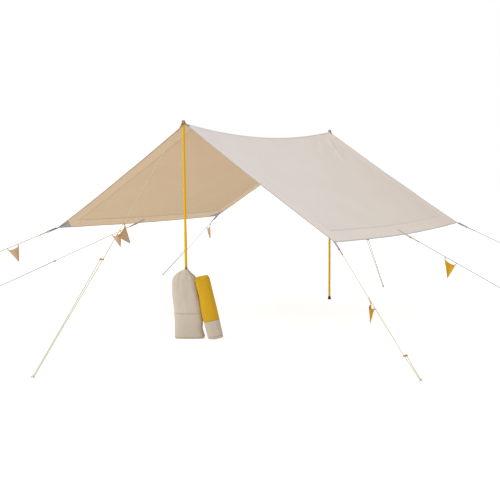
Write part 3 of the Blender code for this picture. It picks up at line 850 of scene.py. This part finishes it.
def hold_spots():
    """Each hold: its place in the frame, its place on the flat sheet, and the cloth's normal."""
    spots = {}
    for name, side, t in (("near_right", 1, -HALF_RIDGE), ("right_middle", 1, RIGHT["middle"]),
                          ("far_right", 1, HALF_RIDGE), ("near_left", -1, -HALF_RIDGE),
                          ("left_middle", -1, LEFT["middle"]), ("far_left", -1, HALF_RIDGE)):
        s = side * float(wing_length(side))
        slope = float(eave_line(t, side)[2])
        normal = np.array((side * math.sin(slope), 0.0, math.cos(slope)))
        spots[name] = (taut_place(s, t, side) - normal * CAD_CLOTH / 2, (s, t), normal)
    for name, end in (("near_ridge", -1), ("far_ridge", 1)):
        place = np.array((0.0, end * (HALF_RIDGE + 0.00085), APEX_HEIGHT - 0.0025)) + SHIFT
        spots[name] = (place, (0.0, end * HALF_RIDGE), np.array((0.0, 0.0, 1.0)))
    return spots


def guy_frame(start, peg):
    """Unit axes of a guy: down the line, up across it, and sideways."""
    along = unit(peg - start)
    sideways = unit(np.cross((0.0, 0.0, 1.0), along))
    return along, np.cross(along, sideways), sideways


# How far each strap rolls over on its way to its ring, and its finish
STRAPS = {
    "near_ridge": (0.0, "grey_webbing"),
    "far_ridge": (0.0, "grey_webbing"),
    "near_right": (0.0, "lilac_webbing"),
    "right_middle": (0.9, "pale_webbing"),
    "far_right": (0.9, "grey_webbing"),
    "near_left": (0.9, "shaded_webbing"),
    "left_middle": (0.6, "shaded_webbing"),
    "far_left": (0.5, "shaded_webbing"),
}
# Where the ridge straps bend down, and how far
APEX_BEND_AT = 0.034
APEX_BEND = math.radians(42)
STRAP_HALF = 0.0110


def apex_bend(along):
    """The way a ridge strap runs once it has bent down from the level."""
    return along * math.cos(APEX_BEND) - np.array((0.0, 0.0, math.sin(APEX_BEND)))


def strap_rows(label, spot, axes, ring):
    """Rows across a strap: from the sheet to its ring, round it and back."""
    hold, corner, normal = spot
    corner = np.array(corner)
    along, across, sideways = axes
    at_apex = "ridge" in label
    outside = label == "right_middle"
    roll = STRAPS[label][0]
    rolled = sideways * math.cos(roll) + across * math.sin(roll)
    lifted = across * math.cos(roll) - sideways * math.sin(roll)
    direction = np.array((0.0, math.copysign(1.0, corner[1])))
    if not at_apex:
        down_slope = np.array((math.copysign(normal[2], corner[0]), 0.0, -abs(normal[0])))
        direction = unit(np.array((math.copysign(along @ down_slope, corner[0]), along[1])))
    beside = np.array((-direction[1], direction[0]))
    if (cloth(*(corner + beside * 0.01))[0] - cloth(*corner)[0]) @ sideways < 0:
        beside = -beside
    depth = 0.0052 if at_apex else -0.0019 if outside else 0.0043
    spread = np.linspace(-1, 1, 5)
    bar = ring - RING_RADIUS
    turn = RING_WIRE + 0.0009

    def sewn_row(distance):
        middle = corner + direction * distance
        return cloth(*(middle[:, None] + beside[:, None] * STRAP_HALF * spread), depth)[0]

    def free_row(distance, lift, half):
        turn_share = smooth_step((distance + 0.012) / 0.020)
        beside_axis = unit(sideways * (1 - turn_share) + rolled * turn_share)
        lift_axis = unit(across * (1 - turn_share) + lifted * turn_share)
        middle = hold + along * distance
        if at_apex and distance > APEX_BEND_AT:
            beyond = distance - APEX_BEND_AT
            middle = hold + along * (distance - beyond) + apex_bend(along) * beyond
            lift_axis = np.cross(apex_bend(along), beside_axis)
        return middle + lift_axis * lift + beside_axis[None] * (half * spread)[:, None]

    def narrowed_row(distance, lift):
        narrowing = 0.003 * smooth_step((distance - bar + 0.03) / 0.03)
        return free_row(distance, lift, STRAP_HALF - narrowing)

    rows = []
    for distance in np.linspace(-0.100 if outside else -0.105, 0.028, 26):
        share = smooth_step((distance + 0.002) / 0.012)
        rows.append(sewn_row(distance) * (1 - share) + free_row(distance, 0.0008, STRAP_HALF) * share)
    for distance in np.linspace(0.032, bar - 0.008, max(3, int((bar - 0.04) / 0.006))):
        rows.append(narrowed_row(distance, 0.0008))
    rows.append(free_row(bar - 0.003, 0.0022, 0.0078))
    for angle in np.linspace(math.pi / 2, -math.pi / 2, 9):
        rows.append(free_row(bar + turn * math.cos(angle), turn * math.sin(angle), 0.0075))
    rows.append(free_row(bar - 0.003, -0.0022, 0.0078))
    for distance in np.linspace(bar - 0.008, 0.031 if at_apex else 0.012, 6):
        rows.append(narrowed_row(distance, -0.0009))
    return np.array(rows)


def ring_axes(label, hold, axes, ring):
    """A ring's centre, and the ways out and across in its plane."""
    along, across, sideways = axes
    if "ridge" in label:
        bent = apex_bend(along)
        return hold + along * APEX_BEND_AT + bent * (ring - APEX_BEND_AT), bent, sideways
    roll = STRAPS[label][0]
    return hold + along * ring, along, sideways * math.cos(roll) + across * math.sin(roll)


def build_strap(label, spot, axes, ring):
    """The webbing and the wire ring at one hold."""
    strap = ribbon(label + "_webbing", strap_rows(label, spot, axes, ring), STRAP, STRAPS[label][1])
    stand_for(strap, "webbing", label + "_strap")
    torus(label + "_ring", *ring_axes(label, spot[0], axes, ring), RING_RADIUS, RING_WIRE)
    if "ridge" in label:
        along, across, sideways = axes
        eyelet_at = spot[0] + along * (POLE_OFFSET - 0.00085) + across * 0.0008
        torus(label + "_eyelet", eyelet_at, along, sideways, 0.0100, 0.0014, 28, 8)


def apex_arch(label, end):
    """The loop of webbing that stands over a pole's top."""
    foot_at = HALF_RIDGE - 0.012
    foot_rise = cloth(0.046, end * foot_at, -0.0020)[0][2] - APEX_HEIGHT
    profile = np.array([(0.046, foot_rise, 0.0), (0.030, -0.0165, 0.45), (0.0185, -0.006, 0.8),
                        (0.0140, 0.007, 1.0), (0.0112, 0.0215, 1.0), (0.0, 0.0290, 1.0)])
    route = np.concatenate([profile * (-1, 1, 1), profile[-2::-1]])
    across = np.array([(0.0, reach, 0.0) for reach in np.linspace(-0.010, 0.010, 4)])
    rows = []
    for x, z, forward in smoothed(resampled(route, 41), 4):
        y = end * (foot_at + (POLE_OFFSET + 0.012) * forward)
        rows.append(SHIFT + (x, y, APEX_HEIGHT + z) + across)
    ribbon(label + "_arch", rows, 0.0015, "dark_webbing")


def coil(centre, axis, radius, pitch, turns, start=0.0):
    """A path that winds round an axis."""
    side = unit(np.cross(axis, (0.3, 0.5, 0.8)))
    other = np.cross(axis, side)
    angles = np.linspace(0, 2 * math.pi * turns, int(14 * turns) + 1)
    return (centre + axis * ((angles / (2 * math.pi) - turns / 2) * pitch)[:, None]
            + radius * (np.cos(angles + start)[:, None] * side + np.sin(angles + start)[:, None] * other))


def build_guy(label, spot):
    """A guy: strap, shock loop, knots, line and pennant."""
    ring, peg_at, runner_at, pennant_at, join_share, hole_side = GUYS[label]
    hold, flat = spot[:2]
    peg = np.array((*peg_at, PEG_LOOP_HEIGHT)) + SHIFT
    strap_axes = guy_frame(hold, peg)
    if "ridge" in label:
        out = np.array((0.0, math.copysign(1.0, flat[1]), 0.0))
        strap_axes = (out, np.array((0.0, 0.0, 1.0)), np.cross((0.0, 0.0, 1.0), out))
    build_strap(label, spot, strap_axes, ring)
    ring_edge = hold + strap_axes[0] * (ring + 0.014)
    start = ring_edge + guy_frame(ring_edge, peg)[0] * 0.0008
    along, across, sideways = guy_frame(start, peg)
    runner = start + along * runner_at
    outward = sideways * hole_side
    strand = unit(runner + outward * STRAND_SPREAD - start)

    centre, out_of_ring = ring_axes(label, hold, strap_axes, ring)[:2]
    bar = centre + out_of_ring * RING_RADIUS
    loop_length = 0.055 if label == "near_right" else min(0.088, pennant_at - 0.10)
    reach = RING_WIRE + SHOCK_SPACING
    steps = np.linspace(0, 1, 46)
    spin = 2 * math.pi * loop_length / SHOCK_TWIST * smooth_step(steps * 1.1)
    radius = SHOCK_SPACING + (reach - SHOCK_SPACING) * (1 - smooth_step(steps / 0.12))
    strands = []
    for phase in (0.0, math.pi):
        swirl = np.cos(spin + phase)[:, None] * across + np.sin(spin + phase)[:, None] * sideways
        strands.append(bar + strand * (loop_length * steps)[:, None] + radius[:, None] * swirl)
    angles = np.linspace(math.pi / 2, -math.pi / 2, 9)[1:-1, None]
    turn = bar + reach * (np.sin(angles) * across - np.cos(angles) * strand)
    loop = np.concatenate([strands[0][::-1], turn, strands[1]])
    shock, knot = ("pale_shock_cord",) * 2 if "ridge" in label else ("tan_shock_cord", "knot_cord")
    tubes(label + "_shock_loop", [tube_arrays(loop, SHOCK_RADIUS)], shock)
    knots = [tube_arrays(coil(bar + strand * (loop_length + 0.002), strand, 0.0042, 0.0044, 2.5), 0.0024),
             tube_arrays(coil(bar + strand * 0.017, strand, 0.0050, 0.0036, 2.0), 0.0018)]
    tubes(label + "_knots", knots, knot)

    join = runner + (peg - runner) * join_share
    turn_radius = PEG_RADIUS + CORD_RADIUS + 0.0003
    line = [bar + strand * loop_length]
    distances = np.linspace(0.15, runner_at - 0.03, 8)
    line.extend(start + strand * distance for distance in distances if distance > loop_length + 0.05)
    line += [runner + outward * STRAND_SPREAD, join + outward * JOINED_SPREAD]
    for angle in np.linspace(0, math.pi, 13):
        line.append(peg + (outward * math.cos(angle) + along * math.sin(angle)) * turn_radius)
    tail = runner - outward * STRAND_SPREAD - along * 0.012
    line += [join - outward * JOINED_SPREAD, runner - outward * STRAND_SPREAD, tail]
    cords = [tube_arrays(line, CORD_RADIUS, 10),
             tube_arrays(coil(tail + along * 0.001, along, 0.0030, 0.0050, 1.6), CORD_RADIUS * 0.9)]
    # The lit lines take the cord's lit copy, painted light; the rest take its shaded copy, painted shade
    cord = tubes(label + "_line", cords, "pale_ivory_cord" if label in LIT_CORD_LINES else "ivory_cord")
    stand_for(cord, "cord", label + "_guy")
    build_pennant(label, start + strand * pennant_at, (strand, unit(np.cross(strand, sideways)), sideways))


# Pennants: how far each one's tip blows sideways, how straight down it hangs from a sloping
# line, how its top edge sags, how much of its width stays open, its cloth, and whether its
# edge is bound in gold
PENNANTS = {
    "near_ridge": (0.012, 0.1, 0.010, 1.0, "tan_pennant", True),
    "far_ridge": (-0.010, 0.4, 0.008, 1.0, "gold_pennant", True),
    "near_right": (0.0, 0.9, 0.034, 0.40, "gold_pennant", True),
    "right_middle": (-0.012, 0.75, 0.014, 0.9, "gold_pennant", True),
    "far_right": (0.010, 1.0, 0.010, 0.95, "gold_pennant", True),
    "near_left": (0.010, -0.12, 0.010, 0.95, "tan_pennant", False),
    "left_middle": (-0.012, 0.3, 0.010, 0.95, "tan_pennant", False),
    "far_left": (0.0, 0.5, 0.012, 0.75, "tan_pennant", False),
}


def build_pennant(label, centre, axes):
    """A small triangle of cloth with a taped top edge, hung by two cord loops."""
    strand, across, sideways = axes
    blow, hang, dip, opened, finish, gold_edge = PENNANTS[label]
    half_width = PENNANT_WIDTH / 2
    top = CORD_RADIUS + PENNANT_LOOP_LENGTH * 0.8
    seed = sum(ord(letter) for letter in label)
    downward = unit(np.array((0.0, 0.0, -hang)) - across * (1 - hang))
    folded = math.sqrt(1 - opened ** 2) * PENNANT_WIDTH

    def place(share, drop):
        """A point at a share across, -1 to 1, and a share of the way down."""
        reach = share * half_width * (1 - drop)
        sag = dip * (1 - (reach / half_width) ** 2) * (1 - 0.6 * drop)
        curl = blow * max(drop, 0.0) ** 1.5 + 0.004 * np.sin(reach * 42 + seed) * (0.3 + drop)
        if opened < 0.6:
            curl = curl + folded / 8 * math.cos(2 * math.pi * share) * (1 - max(drop, 0.0))
        else:
            curl = curl + folded * 0.4 * (1 - abs(share)) * min(1.0, drop * 4 + 0.3) * (1 - 0.6 * drop)
        return (centre + strand * reach * opened - across * top
                + downward * (sag + (PENNANT_DROP - dip * 0.4) * drop) + sideways * curl)

    steps = 16
    spots, faces = triangle_grid(steps)
    points = []
    flat = []
    for row, column in spots:
        share = 2 * column / (steps - row) - 1 if row < steps else 0.0
        points.append(place(share, row / steps))
        flat.append((share * half_width * (1 - row / steps), row / steps * PENNANT_DROP))
    uvs = np.array(flat)[np.array(faces)]
    pennant = add_object(label + "_flag", mesh_of(label + "_flag", points, faces, uvs), finish)
    thicken(pennant, 0.0009, 0.0)
    pennant.modifiers[-1].use_even_offset = False
    edge = 0.090 if gold_edge else 0.050
    profile = ((edge, 0.0009), (0.015, 0.0012), (-0.008, 0.0), (0.015, -0.0012), (edge, -0.0009))
    rows = [[place(share, drop) + sideways * offset for drop, offset in profile]
            for share in np.linspace(-1, 1, 17)]
    tape = ribbon(label + "_tape", rows, 0.0006, "gold_tape" if gold_edge else finish)
    loops = []
    for end in (-1, 1):
        corner = place(end * 0.95, 0.012)
        reach = centre + strand * end * PENNANT_LOOP_SPACING - corner
        turns = np.linspace(0.25, 2 * math.pi - 0.25, 23)[:, None]
        climb = (1 - np.cos(turns)) / 2
        path = (corner + reach * climb * (1 + 0.0045 / np.linalg.norm(reach))
                + sideways * 0.0046 * np.sin(turns) * climb ** 0.5)
        loops.append(tube_arrays(path, 0.0028, up=strand))
        loops.append(tube_arrays(coil(corner + reach * 0.30, unit(reach), 0.0040, 0.0034, 2.0), 0.0017))
    tubes(label + "_hangers", loops, "gold_cord")
    stand_for(pennant, "pennant", label + "_pennant")


# Poles, feet, runners and pegs keep the frame's own solids

def finish_hardware():
    """Materials for the frame's own solids, with their sharp edges eased."""
    finishes = {"_lower": "pole_anodised", "_upper": "pole_anodised", "_foot": "foot_rubber",
                "_runner": "runner_plastic", "_peg": "peg_steel"}
    for name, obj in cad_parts.items():
        ending = name[name.rfind("_"):]
        if ending not in finishes:
            continue
        obj.data.materials.clear()
        obj.data.materials.append(bpy.data.materials[finishes[ending]])
        if ending in ("_runner", "_foot"):
            bevel = obj.modifiers.new("eased_edges", "BEVEL")
            bevel.width = 0.0012
            bevel.segments = 3
            bevel.limit_method = "ANGLE"
            bevel.angle_limit = math.radians(50)
            bevel.harden_normals = True


# Bags

BAG_FACING = math.radians(-57.35)
CANVAS_BAG_FROM_POLE = 0.0770
POLE_BAG_PLACE = (0.2895, 0.105)
POLE_BAG_LEAN = math.radians(12.5)
PANEL_HEIGHT = 0.186
CANVAS_BAG_SECTIONS = [
    (0.000, 0.0255, 0.136, 0.046), (0.010, 0.0275, 0.1445, 0.053), (0.035, 0.031, 0.150, 0.056),
    (0.110, 0.0145, 0.1325, 0.057), (0.187, 0.017, 0.135, 0.058), (0.300, 0.006, 0.132, 0.058),
    (0.410, -0.0095, 0.1285, 0.057), (0.506, -0.019, 0.126, 0.054), (0.572, -0.0225, 0.1215, 0.050),
    (0.610, -0.022, 0.114, 0.044), (0.634, -0.0175, 0.0995, 0.036), (0.655, -0.022, 0.076, 0.030),
    (0.676, -0.016, 0.050, 0.023), (0.690, -0.008, 0.030, 0.016), (0.697, -0.004, 0.018, 0.011),
]
# Dark lines round each bag at its seams, and at its foot a painted contact shadow: height, width and
# strength
CANVAS_MARKS = ((0.004, 0.004, 0.6), (0.026, 0.004, 0.6), (0.262, 0.0035, 0.6))
POLE_BAG_MARKS = ((0.004, 0.004, 0.5), (0.024, 0.0035, 0.6), (PANEL_HEIGHT, 0.0035, 0.7))
POLE_BAG_SECTIONS = [
    (0.000, 0.0, 0.070, 0.042), (0.006, 0.0, 0.0745, 0.047), (0.040, 0.0, 0.0755, 0.049),
    (0.170, -0.002, 0.0785, 0.051), (0.230, -0.005, 0.081, 0.051), (0.320, -0.003, 0.0785, 0.051),
    (0.450, 0.0, 0.0725, 0.049), (0.560, -0.002, 0.0745, 0.046), (0.600, -0.004, 0.074, 0.041),
    (0.620, -0.004, 0.068, 0.032), (0.634, -0.004, 0.052, 0.018),
]


def bag_mesh(name, sections, lean, relief, marks, panel=0.0, sides=132, rows=200):
    """A lofted bag: rounded sections, with folds that relief adds."""
    sections = np.array(sections)
    run = run_along(sections[:, ::2])
    levels = resampled(sections, rows, run)
    levels[:, 1:] = smoothed(levels[:, 1:], 8)
    angles = np.linspace(0, 2 * math.pi, sides, endpoint=False)
    height, angle = np.meshgrid(levels[:, 0], angles, indexing="ij")
    across = np.sign(np.cos(angle)) * np.abs(np.cos(angle)) ** 0.8
    deep = np.sign(np.sin(angle)) * np.abs(np.sin(angle)) ** 0.8
    push = relief(height, angle) / np.hypot(across, deep)
    x = levels[:, 1:2] + (levels[:, 2:3] + push) * across
    y = (levels[:, 3:4] + push) * deep
    leaned = np.stack([x * math.cos(lean) + height * math.sin(lean), y,
                       height * math.cos(lean) - x * math.sin(lean)], axis=-1)
    floor = 0.012 + (leaned[..., 2].min() if lean else 0.0)
    leaned[..., 2] = np.maximum(leaned[..., 2], floor) - floor
    tube = closed_tube(leaned, np.linspace(0, run[-1], rows), np.linspace(0, 0.6, sides + 1))
    mesh = mesh_of(name, *tube)
    # The seam value darkens the seams and paints a contact shadow at the bag's foot
    lines = [strength * groove(height, place, width) for place, width, strength in marks]
    add_values(mesh, "seam", np.max(lines, axis=0))
    low_rows = np.repeat(levels[1:, 0] < panel, sides).astype(np.int32)
    mesh.polygons.foreach_set("material_index", np.concatenate([low_rows, [int(panel > 0), 0]]))
    return mesh


def groove(height, place, width):
    """1 in a line round a bag at one height."""
    return np.exp(-((height - place) / width) ** 2)


def canvas_relief(height, angle):
    """The canvas bag's gathers, seams and slack wrinkles."""
    neck = smooth_step((height - 0.555) / 0.10)
    gathers = 0.0032 * neck * np.cos(angle * 12 + 1.5 * soft_noise(angle * 2 + 9, height * 9, 11))
    gathers = gathers * (1 - 0.6 * smooth_step((height - 0.660) / 0.03))
    slack = 0.0040 * soft_noise(angle * 1.6 + 5, height * 9 + 3, 12)
    slack = slack + 0.0016 * soft_noise(angle * 4, height * 24, 13)
    lines = 0.0022 * soft_noise(angle * 5 + 2 * height, height * 3.5 + 6, 16)
    lines = lines * smooth_step((height - 0.10) / 0.2)
    seams = -0.0026 * groove(height, 0.262, 0.0045) - 0.0020 * groove(height, 0.026, 0.006)
    hem = 0.0012 * groove(height, 0.270, 0.006)
    corner = 0.001 * groove(height, 0.045, 0.030) * np.cos(np.clip(angle, 0, math.pi / 2)) ** 4
    middle = 1 - 0.75 * np.abs(np.cos(angle))
    beside_pole_bag = smooth_step((height - 0.03) / 0.10) * smooth_step((0.52 - height) / 0.16)
    corner = corner + 0.011 * beside_pole_bag * np.clip(np.cos(angle), 0.0, 1.0) ** 3
    return gathers + (slack + lines) * smooth_step(height / 0.05) * middle + seams + hem + corner


def pole_bag_relief(height, angle):
    """The pole bag's seams, fold and wrinkles."""
    slack = 0.0024 * soft_noise(angle * 1.4 + 4, height * 8 + 2, 14)
    slack = slack + 0.0012 * soft_noise(angle * 4, height * 22, 15)
    long = 0.0024 * soft_noise(angle * 4.6 + 3, height * 3.0 + 1, 17) * smooth_step((height - 0.16) / 0.10)
    seams = -0.0024 * groove(height, PANEL_HEIGHT, 0.004) - 0.0022 * groove(height, 0.024, 0.004)
    fold = -0.0050 * groove(height + 0.016 * np.cos(angle), 0.571, 0.008) * (0.6 - 0.4 * np.cos(angle))
    middle = 1 - 0.75 * np.abs(np.cos(angle))
    return (slack + long) * smooth_step(height / 0.04) * middle + seams + fold


def build_bags():
    """The canvas bag against the near pole, and the pole bag that leans on it."""
    front = Vector((math.cos(BAG_FACING), math.sin(BAG_FACING), 0.0))
    beside = Vector((-front.y, front.x, 0.0))
    turn = Matrix.Rotation(math.atan2(beside.y, beside.x), 4, "Z")

    def spot(across, forward, height=0.0):
        """A point so far across, forward and up from the near pole's foot."""
        return Vector(NEAR_FOOT) + beside * across + front * forward + Vector((0.0, 0.0, height))

    canvas_mesh = bag_mesh("canvas_sack", CANVAS_BAG_SECTIONS, 0.0, canvas_relief, CANVAS_MARKS)
    canvas_mesh.transform(Matrix.Translation(spot(0.0, CANVAS_BAG_FROM_POLE)) @ turn)
    canvas = add_object("canvas_sack", canvas_mesh, "canvas_bag_cloth")
    stand_for(canvas, "canvas", "canvas_bag")
    pole_mesh = bag_mesh("pole_sack", POLE_BAG_SECTIONS, -POLE_BAG_LEAN, pole_bag_relief, POLE_BAG_MARKS,
                         PANEL_HEIGHT)
    pole_mesh.transform(Matrix.Translation(spot(*POLE_BAG_PLACE)) @ turn)
    pole = add_object("pole_sack", pole_mesh, "mustard_bag_cloth", "bag_panel")
    stand_for(pole, "bag", "pole_bag")
    build_drawcord(spot)


def build_drawcord(spot):
    """The cord lock on the canvas bag's neck, and its cord down to the pole bag."""
    lock_mesh = bpy.data.meshes.new("drawcord_lock")
    shape = bmesh.new()
    bmesh.ops.create_uvsphere(shape, u_segments=20, v_segments=12, radius=1.0)
    bmesh.ops.scale(shape, vec=(0.0108, 0.0095, 0.0160), verts=shape.verts)
    shape.to_mesh(lock_mesh)
    shape.free()
    lock_mesh.shade_smooth()
    lock_at = spot(-0.003, CANVAS_BAG_FROM_POLE + 0.004, 0.6925)
    add_object("drawcord_lock", lock_mesh, "cord_lock", place=lock_at)
    route = [(-0.003, 0.080, 0.7020), (0.006, 0.092, 0.7050), (0.020, 0.104, 0.6880), (0.038, 0.118, 0.6640),
             (0.062, 0.131, 0.6400), (0.088, 0.140, 0.6160), (0.104, 0.150, 0.6010), (0.121, 0.158, 0.5990),
             (0.139, 0.160, 0.6120)]
    path = smoothed(resampled([spot(*place) for place in route], 49), 12)
    tubes("bag_drawcord", [tube_arrays(path, 0.0023)], "bag_drawcord")


# Studio

# How bright the surroundings are to the camera's left and right, where ahead is 1
LEFT_LIGHT = 1.35
RIGHT_LIGHT = 0.55


def build_studio():
    """White surroundings, a pale floor and a soft key light."""
    world = bpy.data.worlds.new("studio")
    bpy.context.scene.world = world
    world.use_nodes = True
    tree = world.node_tree
    direction = node(tree, "ShaderNodeTexCoord").outputs["Generated"]
    light_from = node(tree, "ShaderNodeVectorMath", {0: direction, 1: (0.842, 0.539, 0.0)},
                      operation="DOT_PRODUCT").outputs["Value"]
    right = ramp(tree, light_from, 0.30, 0.75, 1.0, RIGHT_LIGHT, interpolation_type="SMOOTHSTEP")
    left = ramp(tree, light_from, -0.30, -0.75, 1.0, LEFT_LIGHT, interpolation_type="SMOOTHSTEP")
    tree.links.new(maths(tree, "MULTIPLY", right, left), tree.nodes["Background"].inputs[1])
    tree.nodes["Background"].inputs[0].default_value = (1.0, 1.0, 1.0, 1.0)
    bpy.ops.mesh.primitive_plane_add(size=80, location=(0, 0, -0.001))
    floor = bpy.context.object
    floor.name = "floor"
    tree, shader = start_material("studio_floor", 1.0, gloss=0.0)
    shader.inputs["Base Color"].default_value = (0.30, 0.30, 0.30, 1.0)
    shader.inputs["Emission Color"].default_value = (1.0, 1.0, 1.0, 1.0)
    shader.inputs["Emission Strength"].default_value = 0.79
    floor.data.materials.append(bpy.data.materials["studio_floor"])
    key = bpy.data.objects.new("key", bpy.data.lights.new("key", "SUN"))
    key.data.energy = 1.1
    key.data.angle = math.radians(40)
    key.data.color = (1.0, 0.985, 0.96)
    key.rotation_euler = Vector((0.55, 0.60, -0.62)).to_track_quat("-Z", "Y").to_euler()
    bpy.context.scene.collection.objects.link(key)
    bpy.context.scene.view_settings.view_transform = "Standard"
    bpy.context.scene.view_settings.look = "None"


def main():
    """Dress the frame and set it in its studio."""
    place_camera()
    make_materials()
    build_canopy()
    spots = hold_spots()
    for label in GUYS:
        build_guy(label, spots[label])
    apex_arch("near", -1)
    apex_arch("far", 1)
    finish_hardware()
    build_bags()
    build_studio()
    bpy.context.view_layer.update()


main()
